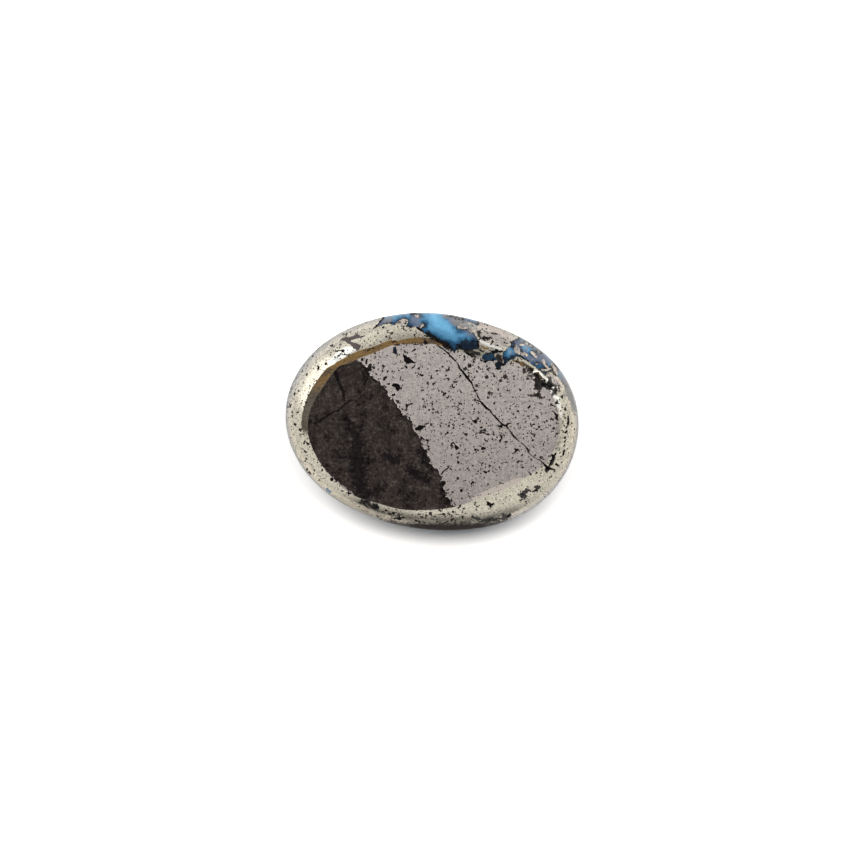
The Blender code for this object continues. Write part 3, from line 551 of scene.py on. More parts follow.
# The ragged edge of the host rock, from the top of the back down and round outside its edge.
ROCK_OUTLINE = (
    (352.0, 356.0), (358.2, 361.4), (363.2, 363.6), (366.2, 366.6), (370.4, 364.2), (371.6, 369.4),
    (369.4, 372.4), (372.6, 376.4), (376.0, 378.6), (380.2, 380.8), (382.0, 384.4), (385.0, 388.2),
    (387.8, 391.4), (388.8, 396.6), (391.2, 399.4), (394.6, 401.0), (396.6, 404.4), (398.0, 407.6),
    (401.2, 410.8), (403.0, 413.2), (403.4, 416.4), (405.2, 418.8), (412.2, 420.6), (413.8, 424.6),
    (413.0, 429.4), (415.2, 432.4), (417.8, 435.4), (418.8, 439.4), (421.4, 443.4), (423.6, 447.4),
    (426.4, 449.6), (426.8, 453.6), (429.4, 455.8), (429.6, 458.6), (430.8, 462.4), (433.2, 466.0),
    (437.0, 468.8), (440.2, 470.2), (439.0, 474.2), (442.0, 477.0), (440.8, 481.0), (445.4, 481.4),
    (446.4, 484.6), (443.0, 486.2), (444.0, 489.4), (446.0, 492.2), (446.6, 496.6), (449.4, 499.4),
    (449.6, 503.2), (453.4, 506.4), (459.0, 508.8), (456.0, 540.0), (384.0, 540.0), (368.0, 506.4),
    (358.4, 499.6), (352.2, 493.4), (343.2, 485.4), (333.4, 477.6), (326.2, 470.8), (317.0, 463.4),
    (309.0, 452.0), (303.0, 438.0), (296.0, 420.0), (280.0, 400.0), (280.0, 340.0), (332.0, 340.0),
)

# Splits in the host rock, and where it is darkest.
ROCK_SPLITS = (
    ((312.8, 424.2, 1.4), (320.6, 420.4, 2.0), (328.7, 415.2, 1.6), (338.6, 410.2, 1.2), (344.6, 404.8, 1.8),
     (352.9, 399.7, 0.9)),
    ((355.6, 400.6, 1.0), (359.6, 407.4, 1.6), (363.4, 415.6, 1.0)),
    ((334.0, 368.0, 2.0), (336.0, 374.0, 3.6), (338.6, 382.4, 2.2), (343.2, 392.0, 3.0), (344.4, 401.0, 1.6)),
    ((364.0, 374.0, 1.6), (364.6, 384.0, 2.2)),
)
ROCK_SHADE = (
    ((347.0, 418.0, 5.0), (353.0, 430.0, 8.0), (358.0, 444.0, 12.0), (357.0, 458.0, 16.0), (358.0, 474.0, 15.0),
     (360.0, 490.0, 12.0)),
    ((337.0, 453.0, 4.0), (341.0, 459.0, 4.0)),
    ((385.0, 456.0, 8.0), (398.0, 462.0, 6.0)),
    ((414.0, 474.0, 10.0), (424.0, 478.0, 9.0)),
    ((421.0, 452.0, 7.0), (429.0, 466.0, 6.0)),
    ((443.0, 486.0, 5.0), (447.0, 500.0, 6.0)),
    ((383.0, 488.0, 6.0), (366.0, 496.0, 8.0)),
    ((366.0, 368.0, 7.0), (376.0, 380.0, 4.0)),
)

# Polished grey patches of the same rock on the bevel.
SLATE = (
    ((341.2, 339.6, 1.4), (347.4, 339.4, 4.2), (353.0, 338.0, 3.4), (357.4, 336.0, 4.4), (361.0, 337.2, 2.4),
     (365.4, 335.2, 1.0)),
    ((346.4, 340.8, 3.0), (350.0, 343.0, 3.4), (355.0, 345.0, 3.0)),
    ((345.6, 337.6, 2.2), (347.0, 339.0, 3.0)),
    ((352.0, 344.6, 2.4), (355.0, 346.2, 6.0), (359.0, 346.4, 3.2), (357.6, 349.4, 3.0)),
    ((342.0, 334.2, 2.2), (347.0, 334.4, 1.6)),
    ((289.6, 404.0, 1.6), (290.4, 402.0, 1.4)),
    ((570.2, 385.0, 2.0), (573.6, 392.0, 3.0), (574.6, 397.0, 1.8)),
    ((463.0, 319.4, 1.6), (472.0, 321.4, 2.0), (477.0, 324.0, 3.6)),
)

# Painted shade along the lower edge of the rim, standing in for the mirrored shadow under the stone: a dark band,
# and a thinner, wider wash of shade beside it and up the right side.
RIM_PAINTED_SHADE = (
    ((386.0, 521.4, 2.0), (398.0, 524.6, 5.6), (410.0, 528.0, 11.0), (430.0, 530.0, 17.0), (450.0, 530.4, 18.0),
     (470.0, 529.0, 15.0), (490.0, 527.0, 10.6), (506.0, 522.6, 4.0)),
)
RIM_SHADE_WASH = (
    ((330.0, 497.0, 6.0), (350.0, 510.0, 11.0), (372.0, 521.0, 13.0), (396.0, 529.0, 13.0), (430.0, 534.0, 18.0),
     (460.0, 534.0, 20.0), (490.0, 531.0, 16.0), (512.0, 525.0, 6.0)),
    ((352.0, 505.0, 5.0), (364.0, 511.0, 10.0), (380.0, 518.0, 10.0)),
    ((436.0, 520.0, 5.0), (456.0, 519.0, 6.0), (474.0, 519.0, 4.0)),
    ((556.6, 408.0, 2.0), (559.0, 424.0, 2.6), (560.0, 438.0, 3.4), (557.0, 450.0, 2.6)),
)

# Ground patches with no polish, brown and gold, beside the strip and at the upper right.
GROUND_PATCHES = (
    ((384.0, 345.4, 2.0), (400.0, 343.0, 2.6), (416.0, 342.4, 2.8), (430.0, 343.0, 2.4)),
    ((431.0, 339.4, 4.0), (438.0, 341.0, 6.0), (446.0, 344.6, 3.6)),
    ((426.0, 340.2, 3.0), (432.0, 341.4, 3.0)),
    ((480.0, 345.6, 1.8), (485.0, 348.2, 2.4), (489.4, 350.0, 2.0)),
    ((512.6, 360.4, 2.0), (517.0, 361.6, 3.0), (522.0, 363.6, 4.4), (527.6, 366.0, 3.2), (532.6, 368.6, 2.4)),
    ((537.6, 373.2, 4.4), (541.6, 378.0, 4.0)),
)

# Where fine pits crowd the polish of the rim.
GRIT = (
    ((370.0, 340.0, 6.0), (380.0, 336.0, 9.0), (394.0, 334.0, 10.0), (410.0, 333.0, 9.0), (422.0, 336.0, 5.0)),
    ((484.0, 336.0, 5.0), (496.0, 338.0, 5.0), (506.0, 343.0, 4.0)),
    ((560.0, 400.0, 8.0), (564.0, 416.0, 6.0), (564.0, 434.0, 4.0), (560.0, 452.0, 7.0), (552.0, 470.0, 6.0)),
    ((400.0, 514.0, 4.0), (430.0, 515.0, 5.0), (455.0, 513.0, 4.0)),
    ((440.0, 378.0, 8.0), (456.0, 396.0, 12.0), (458.0, 412.0, 10.0)),
    ((450.0, 364.0, 8.0), (468.0, 366.0, 10.0), (486.0, 378.0, 14.0), (496.0, 366.0, 8.0)),
    ((484.0, 430.0, 8.0), (496.0, 438.0, 6.0)),
    ((474.0, 384.0, 8.0), (484.0, 372.0, 10.0)),
    ((478.0, 464.0, 6.0), (494.0, 462.0, 8.0)),
    ((500.0, 436.0, 6.0), (522.0, 424.0, 10.0), (534.0, 418.0, 8.0)),
    ((500.0, 374.0, 8.0), (512.0, 388.0, 10.0), (490.0, 392.0, 6.0)),
)

# Where the polish of the flat back and of the rim is nearly free of pits.
CLEAR = (
    ((396.0, 388.0, 10.0), (412.0, 392.0, 22.0), (410.0, 404.0, 14.0), (418.0, 416.0, 8.0)),
    ((438.0, 448.0, 8.0), (437.0, 462.0, 10.0), (444.0, 474.0, 6.0)),
    ((452.0, 488.0, 8.0), (480.0, 486.0, 8.0), (500.0, 478.0, 10.0), (522.0, 474.0, 8.0)),
    ((484.0, 493.0, 9.0), (504.0, 488.0, 13.0), (524.0, 482.0, 8.0)),
    ((500.0, 506.0, 8.0), (514.0, 502.0, 5.0)),
    ((330.0, 350.0, 6.0), (316.0, 366.0, 10.0), (304.0, 384.0, 12.0), (296.0, 404.0, 8.0), (300.0, 424.0, 4.0)),
    ((304.0, 470.0, 5.0), (320.0, 488.0, 6.0), (344.0, 504.0, 6.0), (370.0, 516.0, 4.0)),
    ((440.0, 356.0, 4.0), (436.0, 372.0, 6.0)),
)

# A thin grey veil over pyrite and turquoise, and places where soot-dark grains crowd.
VEIL = (
    ((444.0, 315.0, 4.0), (454.0, 320.0, 8.0), (464.0, 323.0, 7.0), (474.0, 327.0, 5.0)),
    ((559.0, 372.0, 3.0), (564.0, 380.0, 8.0), (569.0, 389.0, 11.0), (573.0, 398.0, 10.0), (576.0, 410.0, 6.0)),
    ((384.0, 320.0, 3.0), (392.0, 318.0, 4.0)),
    ((521.0, 341.0, 3.0), (532.0, 347.0, 3.0), (541.0, 353.0, 3.0)),
)
SOOT = (
    ((428.0, 333.0, 4.0), (434.0, 338.0, 4.0), (442.0, 343.0, 5.0), (448.0, 348.0, 5.0)),
    ((478.6, 341.6, 3.0),),
    ((478.0, 333.0, 2.6), (481.0, 338.0, 3.6), (490.0, 338.4, 2.4)),
    ((466.0, 351.0, 4.0), (475.0, 354.0, 6.0), (480.0, 355.0, 3.0)),
    ((498.0, 356.0, 4.0), (501.0, 362.0, 4.0)),
    ((512.0, 342.0, 4.0), (515.0, 346.0, 2.0)),
    ((554.0, 456.0, 3.0), (552.0, 464.0, 4.0), (547.0, 470.0, 4.0)),
    ((548.0, 384.0, 5.0), (555.0, 390.0, 5.0)),
    ((362.0, 501.0, 2.4), (369.0, 504.4, 3.6), (376.0, 508.0, 4.0)),
)

# Painted sheen: a brighter patch where the flat back meets the rim at the lower right, standing in for the light
# a slightly tilted facet there would catch; the surface itself stays flat.
PAINTED_FACET_SHEEN = (
    ((474.0, 499.0, 4.0), (488.0, 494.0, 8.0), (504.0, 488.0, 10.0), (518.0, 482.0, 8.0), (529.0, 477.4, 3.0)),
)

# Hairlines in the flat back, beside the crack.
HAIRLINES = (
    ((507.0, 428.6, 0.5), (518.0, 436.0, 0.6), (531.0, 444.4, 0.6), (546.0, 456.0, 0.5)),
    ((496.4, 371.0, 0.5), (497.0, 381.0, 0.6), (500.0, 392.0, 0.5), (507.0, 405.0, 0.6), (514.0, 416.0, 0.5)),
    ((519.0, 424.0, 0.4), (534.0, 436.0, 0.5), (549.0, 449.0, 0.5)),
    ((534.6, 442.0, 0.4), (543.0, 441.0, 0.5), (551.0, 446.4, 0.4)),
)

# Painted highlights: bright strokes on the bevel's edges and on the pyrite grains in the hollow, standing in for
# the light they catch.
PAINTED_HIGHLIGHTS = (
    ((480.2, 341.2, 2.2), (486.0, 343.6, 3.2), (492.0, 345.8, 3.2), (498.0, 348.2, 3.0), (501.8, 349.2, 1.4)),
    ((554.0, 396.6, 2.4), (557.4, 398.4, 3.4), (558.4, 404.4, 3.6), (560.0, 411.0, 2.6), (561.0, 417.0, 1.2)),
    ((330.0, 363.0, 3.6), (338.0, 356.8, 8.0), (346.0, 351.4, 8.4), (354.0, 348.4, 5.0)),
    ((533.4, 372.6, 1.8), (535.4, 370.6, 2.4), (537.2, 371.0, 1.8)),
    ((539.6, 370.8, 1.8), (541.4, 374.2, 2.2), (544.2, 377.4, 2.2), (547.4, 379.2, 2.2), (546.8, 382.4, 1.6)),
    ((553.0, 387.2, 2.0), (554.2, 390.8, 1.9)),
    ((551.0, 390.6, 2.0), (551.4, 393.6, 1.4)),
    ((531.6, 376.6, 0.9),),
    ((540.4, 379.6, 1.6),),
)

# How deep each kind of mark is sunk.
CRACK_DEPTH = 0.22
HOLLOW_DEPTH = 0.30
BLOT_DEPTH = 0.09
ROCK_DEPTH = 0.05
ROCK_GRAIN = 0.05
SPLIT_DEPTH = 0.10

# The map that the materials are baked to: millimetres of surface across its whole side.
BAKE_SIDE = 46.0
NOISE_CELLS = 64

# The studio: each place is the way round from +X and the angle above the floor, in degrees, then how far
# from there the light is full, how far off it has faded, and for a panel how bright it is.
WALL_LIGHT = 1.4
FAR_LIGHT = 1.6
NEAR_SIDE = (277, 2, 10, 38)
NEAR_SIDE_LIGHT = 0.26
OVERHEAD = (92, 74, 22, 44)
OVERHEAD_LIGHT = 0.78
PANELS = (
    (157, 38, 12, 23, 3.4),
    (158, 22, 9, 22, 2.9),
    (159, 5, 5, 22, 1.9),
    (128, 24, 3, 11, 1.9),
    (140, 42, 4, 11, 2.5),
    (10, 34, 3, 10, 1.5),
    (17, 28, 2, 8, 2.0),
)
LAMP_SIDES = (66, 132)
LAMP_HEIGHT = 61
LAMP_ANGLE = 24
LAMP_LIGHT = 18.5
LAMP_DISTANCE = 300.0


def view_axes():
    """The camera's right, up and backward directions, as columns of one matrix.

    Right lies in the stone's plane, turned from +X. Backward is +Z leaned towards the direction
    square to it, and up completes the three.
    """
    right = np.array([math.cos(TURN), math.sin(TURN), 0.0])
    across = np.array([-math.sin(TURN), math.cos(TURN), 0.0])
    backward = np.array([0.0, 0.0, math.cos(LEAN)]) + across * math.sin(LEAN)
    return np.column_stack([right, np.cross(backward, right), backward])


def camera_place(axes):
    """Where the camera stands, so that the middle of the back falls on its pixel."""
    aside = (BACK_MIDDLE_PIXEL[0] - PICTURE / 2) / PIXELS_PER_MM
    above = (PICTURE / 2 - BACK_MIDDLE_PIXEL[1]) / PIXELS_PER_MM
    distance = PICTURE / PIXELS_PER_MM * LENS / SENSOR
    return BACK_MIDDLE - aside * axes[:, 0] - above * axes[:, 1] + distance * axes[:, 2]


def photograph_pixels(points):
    """The photograph's pixel, across and down, at which the camera sees each point."""
    axes = view_axes()
    seen = (points - camera_place(axes)) @ axes
    scale = PICTURE * LENS / SENSOR / -seen[:, 2]
    return np.column_stack([PICTURE / 2 + scale * seen[:, 0], PICTURE / 2 - scale * seen[:, 1]])


def smooth_ring(points, degrees):
    """Value at each angle of the smooth closed curve through (degrees, value) points.

    Between two points it is the cubic whose slope at each point is that of the line joining
    the point's two neighbours.
    """
    place = np.array([point[0] for point in points], float)
    value = np.array([point[1] for point in points], float)
    place = np.concatenate([place[-2:] - 360, place, place[:3] + 360])
    value = np.concatenate([value[-2:], value, value[:3]])
    slope = np.gradient(value)
    slope[1:-1] = (value[2:] - value[:-2]) / (place[2:] - place[:-2])
    turned = np.mod(degrees - place[1], 360) + place[1]
    first = np.clip(np.searchsorted(place, turned, side="right") - 1, 1, len(place) - 3)
    span = place[first + 1] - place[first]
    u = (turned - place[first]) / span
    start = (1 + 2 * u) * (1 - u) ** 2 * value[first] + u * (1 - u) ** 2 * span * slope[first]
    end = u * u * (3 - 2 * u) * value[first + 1] + u * u * (u - 1) * span * slope[first + 1]
    return start + end


def girdle_radius(angle):
    """Distance of the girdle from the axis: an ellipse's, times the waves of the hand cut."""
    ellipse = HALF_LENGTH * HALF_WIDTH / np.hypot(HALF_WIDTH * np.cos(angle), HALF_LENGTH * np.sin(angle))
    waves = sum(c * np.cos(n * angle) + s * np.sin(n * angle) for n, c, s in GIRDLE_WAVES)
    return ellipse * (1 + waves) - POLISH_LOSS


def disc_grid(rings):
    """Share of the way out and angle of each point of a square grid bent into an oval disc.

    Each square ring of the grid becomes a circle, along which its points are spread evenly, and
    the circle's angles are those of an ellipse of the stone's proportions.
    """
    step = np.arange(-rings, rings + 1)
    u, v = (side.ravel() for side in np.meshgrid(step, step, indexing="ij"))
    wide = np.abs(u) > np.abs(v)
    longer = np.where(wide, u, v)
    part = np.where(wide, v, u) / np.where(longer == 0, 1, longer) * math.pi / 4
    turn = np.where(wide, part, math.pi / 2 - part)
    share = np.abs(longer) / rings
    flip = np.sign(longer)
    angle = np.arctan2(HALF_WIDTH * flip * np.sin(turn), HALF_LENGTH * flip * np.cos(turn))
    return share, angle


def disc_faces(rings, upward):
    """Quads between the grid's points, facing up or down."""
    side = 2 * rings + 1
    corner = (np.arange(side - 1)[:, None] * side + np.arange(side - 1)).ravel()
    order = (0, side, side + 1, 1) if upward else (0, 1, side + 1, side)
    return np.stack([corner + step for step in order], axis=1)


def rim_loop(rings):
    """The grid's outermost points, in the order of their angle from +X."""
    side = 2 * rings + 1
    share, angle = disc_grid(rings)
    outer = np.flatnonzero(np.isclose(share, 1))
    turned = np.mod(angle[outer] + 1e-9, 2 * math.pi)
    assert len(outer) == 4 * (side - 1)
    return outer[np.argsort(turned)]


def back_surface():
    """Points of the whole back, their angles, how far past the flat each lies, and how far from the strip.

    The flat runs to the back's edge. The strip falls away from there at its own slope, and where
    it is narrow its rings run on over the start of the bevel. The bevel's slope then grows evenly
    to upright at the girdle, along an arc stretched to join the two edges.
    """
    share, angle = disc_grid(BACK_RINGS)
    ring = share * BACK_RINGS
    degrees = np.degrees(angle) % 360
    inner = smooth_ring(BACK_EDGE, degrees)
    strip_places = [point[0] for point in STRIP_WIDTHS]
    strip = np.interp(degrees, strip_places, [point[1] for point in STRIP_WIDTHS], period=360)
    outer = inner + strip
    start = np.radians(smooth_ring(BEVEL_STARTS, degrees))
    top = THICKNESS - STRIP_SLOPE * strip
    girdle = girdle_radius(angle)

    reach = np.maximum(strip, LEAST_STRIP)
    first_slope = np.arcsin(np.sin(start) + (reach - strip) / (girdle - outer) * (1 - np.sin(start)))
    on_strip = np.clip((ring - FLAT_RINGS) / STRIP_RINGS, 0, 1)
    on_bevel = np.clip((ring - FLAT_RINGS - STRIP_RINGS) / BEVEL_RINGS, 0, 1)
    radius = inner * np.clip(ring / FLAT_RINGS, 0, 1) + reach * on_strip
    across = np.clip((radius - outer) / (girdle - outer), 0, 1)
    slope = np.arcsin(np.sin(start) + across * (1 - np.sin(start)))
    slope = np.where(on_bevel > 0, first_slope + (math.pi / 2 - first_slope) * on_bevel, slope)
    across = (np.sin(slope) - np.sin(start)) / (1 - np.sin(start))
    down = (np.cos(start) - np.cos(slope)) / np.cos(start)
    past_strip = radius + 1e-9 >= outer
    radius = np.where(past_strip, outer + (girdle - outer) * across, radius)
    height = THICKNESS - STRIP_SLOPE * np.clip(radius - inner, 0, None)
    height = np.where(past_strip, top + (GIRDLE_HEIGHT - top) * down, height)
    points = np.column_stack([radius * np.cos(angle), radius * np.sin(angle), height])
    off_strip = np.maximum(inner - radius, radius - outer) + np.where(strip < NARROWEST_STRIP, 1.0, 0.0)
    return points, angle, radius - inner, off_strip


def crease_marks():
    """A number for each point of the back: 1 along the flat's edge, 2 along the strip's outer edge, else 0."""
    share, angle = disc_grid(BACK_RINGS)
    ring = np.rint(share * BACK_RINGS)
    strip_places = [point[0] for point in STRIP_WIDTHS]
    strip = np.interp(np.degrees(angle) % 360, strip_places, [point[1] for point in STRIP_WIDTHS], period=360)
    outer_edge = (ring == FLAT_RINGS + STRIP_RINGS) & (strip > NARROWEST_STRIP)
    return np.where(ring == FLAT_RINGS, 1, np.where(outer_edge, 2, 0))


def dome_surface():
    """Points of the dome and crown, and how far below the girdle each lies along the surface.

    The section is a superellipse a little fuller than an ellipse, cut level at the crown, and its
    rings turn by equal steps from just under the girdle to the crown's edge.
    """
    share, angle = disc_grid(DOME_RINGS)
    ring = share * DOME_RINGS
    full_turn = math.acos(CROWN_SHARE ** (DOME_FULLNESS / 2))
    turn = np.clip((DOME_RINGS - ring) / (DOME_RINGS - CROWN_RINGS), 0, 1) * (full_turn - GIRDLE_GAP)
    turn += GIRDLE_GAP
    section = np.cos(turn) ** (2 / DOME_FULLNESS) * np.clip(ring / CROWN_RINGS, 0, 1)
    drop = np.sin(turn) ** (2 / DOME_FULLNESS)
    deepest = (1 - CROWN_SHARE**DOME_FULLNESS) ** (1 / DOME_FULLNESS)
    girdle = girdle_radius(angle)
    radius = girdle * section
    height = GIRDLE_HEIGHT * (1 - drop / deepest)
    points = np.column_stack([radius * np.cos(angle), radius * np.sin(angle), height])
    return points, angle, girdle - radius + (GIRDLE_HEIGHT - height)


def lattice_noise(points, cell, seed):
    """Smooth noise from -1 to 1: random values at the corners of cubes, blended across each cube.

    The blend weighs each corner by the smooth step of the point's place between two corners.
    """
    values = np.random.default_rng(seed).uniform(-1, 1, (NOISE_CELLS,) * 3)
    corner = np.floor(points / cell).astype(int)
    share = points / cell - corner
    share = share * share * (3 - 2 * share)
    total = np.zeros(len(points))
    for step in np.ndindex(2, 2, 2):
        weight = np.prod(np.where(step, share, 1 - share), axis=1)
        total += weight * values[tuple(((corner + step) % NOISE_CELLS).T)]
    return total


def stroke_distance(pixels, strokes):
    """Distance in pixels to the edge of the nearest stroke, less than nothing inside one.

    A stroke is a run of points with widths. On each stretch the distance is that to the nearest
    point of the middle line, less half the width there, which changes evenly along the stretch.
    """
    nearest = np.full(len(pixels), 60.0)
    for stroke in strokes:
        for start, end in zip(stroke, stroke[1:] or stroke):
            along = np.subtract(end[:2], start[:2])
            share = (pixels - start[:2]) @ along / max(along @ along, 1e-9)
            share = np.clip(share, 0, 1)
            gap = np.linalg.norm(pixels - start[:2] - share[:, None] * along, axis=1)
            nearest = np.minimum(nearest, gap - (start[2] + share * (end[2] - start[2])) / 2)
    return nearest


def area_distance(pixels, outline):
    """Distance in pixels to a closed outline, less than nothing inside it."""
    nearest = np.full(len(pixels), 60.0)
    inside = np.zeros(len(pixels), bool)
    x, y = pixels.T
    for (ax, ay), (bx, by) in zip(outline, outline[1:] + outline[:1]):
        along = np.array([bx - ax, by - ay])
        share = np.clip(((x - ax) * along[0] + (y - ay) * along[1]) / (along @ along), 0, 1)
        nearest = np.minimum(nearest, np.hypot(x - ax - share * along[0], y - ay - share * along[1]))
        crosses = (ay > y) != (by > y)
        side = x < ax + (y - ay) / np.where(ay == by, 1, by - ay) * (bx - ax)
        inside ^= crosses & side
    return np.where(inside, -nearest, nearest)


def soft_step(value, low, high):
    """0 up to low, 1 from high on, and the smooth step between them."""
    share = np.clip((value - low) / (high - low), 0, 1)
    return share * share * (3 - 2 * share)


def back_marks(points):
    """Distance in millimetres to the edge of each kind of mark, at each point of the back."""
    pixels = photograph_pixels(points)
    wander = lattice_noise(points, 0.42, 3) * 0.9 + lattice_noise(points, 0.19, 4) * 0.6
    tremble = lattice_noise(points, 0.14, 5) * 0.45
    specks = tuple((speck,) for speck in SPECKS)
    turquoise = np.min([area_distance(pixels, outline) for outline in TURQUOISE_AREAS], axis=0)
    marks = {
        "crack": stroke_distance(pixels, (CRACK,) + CRACK_BRANCHES) + tremble * 0.5,
        "hollow": stroke_distance(pixels, HOLLOW) + wander * 0.8,
        "lobes": stroke_distance(pixels, DULL_MARKS) + wander,
        "blots": stroke_distance(pixels, BLOTS + specks + RIM_MARKS + BORDER_MARKS) + tremble,
        "rock": area_distance(pixels, ROCK_OUTLINE) + wander * 1.2,
        "splits": stroke_distance(pixels, ROCK_SPLITS) + tremble,
        "shade": stroke_distance(pixels, ROCK_SHADE) + wander,
        "turquoise": turquoise + wander * 0.7,
        "deep": stroke_distance(pixels, DEEP_BLUE) + wander,
        "bright": stroke_distance(pixels, BRIGHT_BLUE) + wander,
        "light": stroke_distance(pixels, PALE_BLUE) + wander,
        "haze": stroke_distance(pixels, GREY_HAZE) + wander * 2,
        "flakes": stroke_distance(pixels, FLAKES) + wander * 0.6,
        "slate": stroke_distance(pixels, SLATE) + wander * 0.6,
        "rim_shade": stroke_distance(pixels, RIM_PAINTED_SHADE) + wander * 1.2,
        "rim_shade_wash": stroke_distance(pixels, RIM_SHADE_WASH) + wander * 1.2,
        "ground": stroke_distance(pixels, GROUND_PATCHES) + wander * 0.7,
        "grit": stroke_distance(pixels, GRIT) + wander,
        "clear": stroke_distance(pixels, CLEAR) + wander,
        "facet_sheen": stroke_distance(pixels, PAINTED_FACET_SHEEN),
        "veil": stroke_distance(pixels, VEIL) + wander,
        "soot": stroke_distance(pixels, SOOT) + wander,
        "hairlines": stroke_distance(pixels, HAIRLINES) + tremble * 0.6,
        "highlight_grains": stroke_distance(pixels, PAINTED_HIGHLIGHTS) + tremble,
    }
    return {name: distance / PIXELS_PER_MM for name, distance in marks.items()}


def back_depth(points, marks):
    """How far the back is sunk at each point, from the marks there.

    Every mark's wall starts just inside its edge, so that the polish outside it stays flat.
    """
    grain = 0.5 + 0.5 * lattice_noise(points, 0.24, 6) + 0.35 * lattice_noise(points, 0.13, 7)
    in_rock = soft_step(-np.maximum(marks["rock"], marks["edge"]), 0.06, 0.18)
    in_crack = soft_step(-marks["crack"], 0.05, 0.12)
    in_split = soft_step(-marks["splits"], 0.0, 0.08) * in_rock
    in_hollow = soft_step(-np.minimum(marks["hollow"], marks["lobes"] + 0.05), 0.06, 0.22)
    in_hollow = in_hollow * soft_step(marks["highlight_grains"], -0.04, 0.04)
    in_blot = soft_step(-marks["blots"], 0.05, 0.13)
    depth = in_rock * (ROCK_DEPTH + ROCK_GRAIN * np.clip(grain, 0, None))
    depth = np.maximum(depth, in_rock * ROCK_DEPTH + in_split * SPLIT_DEPTH)
    depth = np.maximum(depth, in_blot * BLOT_DEPTH * (0.8 + 0.4 * grain))
    depth = np.maximum(depth, in_hollow * HOLLOW_DEPTH * (0.7 + 0.4 * grain))
    return np.maximum(depth, in_crack * CRACK_DEPTH)


def grid_normals(points, rings):
    """Outward direction at each point of the back, across the two ways of its grid."""
    side = 2 * rings + 1
    grid = points.reshape(side, side, 3)
    down, along = np.gradient(grid, axis=(0, 1))
    normal = np.cross(down, along).reshape(-1, 3)
    normal /= np.linalg.norm(normal, axis=1, keepdims=True)
    return normal * np.where(normal[:, 2:] < 0, -1, 1)


def girdle_faces(back_count):
    """Triangles that join the back's rim, which has twice as many points, to the dome's rim."""
    back = rim_loop(BACK_RINGS)
    dome = rim_loop(DOME_RINGS) + back_count
    middle, after = back[1::2], np.roll(back[0::2], -1)
    return np.concatenate([
        np.column_stack([dome, middle, back[0::2]]),
        np.column_stack([dome, np.roll(dome, -1), middle]),
        np.column_stack([np.roll(dome, -1), after, middle]),
    ])


def write_mesh(name, points, quads, triangles, creases=None):
    """A mesh object from points in millimetres, four sided faces and triangles.

    An edge is sharp where both its ends carry the same number other than 0 in the creases.
    """
    mesh = bpy.data.meshes.new(name)
    mesh.vertices.add(len(points))
    mesh.vertices.foreach_set("co", (points * MM).astype(np.float32).ravel())
    corners = np.concatenate([quads.ravel(), triangles.ravel()])
    sizes = np.repeat([4, 3], [len(quads), len(triangles)])
    mesh.loops.add(len(corners))
    mesh.loops.foreach_set("vertex_index", corners.astype(np.int32))
    mesh.polygons.add(len(sizes))
    mesh.polygons.foreach_set("loop_start", (np.cumsum(sizes) - sizes).astype(np.int32))
    mesh.polygons.foreach_set("use_smooth", np.ones(len(sizes), bool))
    mesh.update(calc_edges=True)
    mesh.validate()
    if creases is not None:
        ends = np.empty(2 * len(mesh.edges), np.int32)
        mesh.edges.foreach_get("vertices", ends)
        first, second = creases[ends.reshape(-1, 2)].T
        mesh.edges.foreach_set("use_edge_sharp", (first == second) & (first > 0))
    made = bpy.data.objects.new(name, mesh)
    bpy.context.scene.collection.objects.link(made)
    return made


def write_field(mesh, name, values):
    """Keeps one number for each point on the mesh, under a name that the materials read."""
    mesh.attributes.new(name, "FLOAT", "POINT").data.foreach_set("value", values.astype(np.float32))


def write_bake_map(mesh, points, angles, back_count):
    """The map that finishes are baked to: the back above, the dome below, each unrolled from its middle.

    A point's way out from the middle is its radius, and part of its height for the steep sides.
    """
    reach = np.hypot(points[:, 0], points[:, 1])
    on_back = np.arange(len(points)) < back_count
    height = np.where(on_back, THICKNESS - points[:, 2], points[:, 2])
    ways = reach + height * 0.5
    across = 0.5 + ways * np.cos(angles) / BAKE_SIDE
    along = np.where(on_back, 0.25, 0.75) + ways * np.sin(angles) / BAKE_SIDE
    corner = np.empty(len(mesh.loops), np.int32)
    mesh.loops.foreach_get("vertex_index", corner)
    layer = mesh.uv_layers.new(name="OFBake")
    layer.uv.foreach_set("vector", np.column_stack([across, along])[corner].astype(np.float32).ravel())


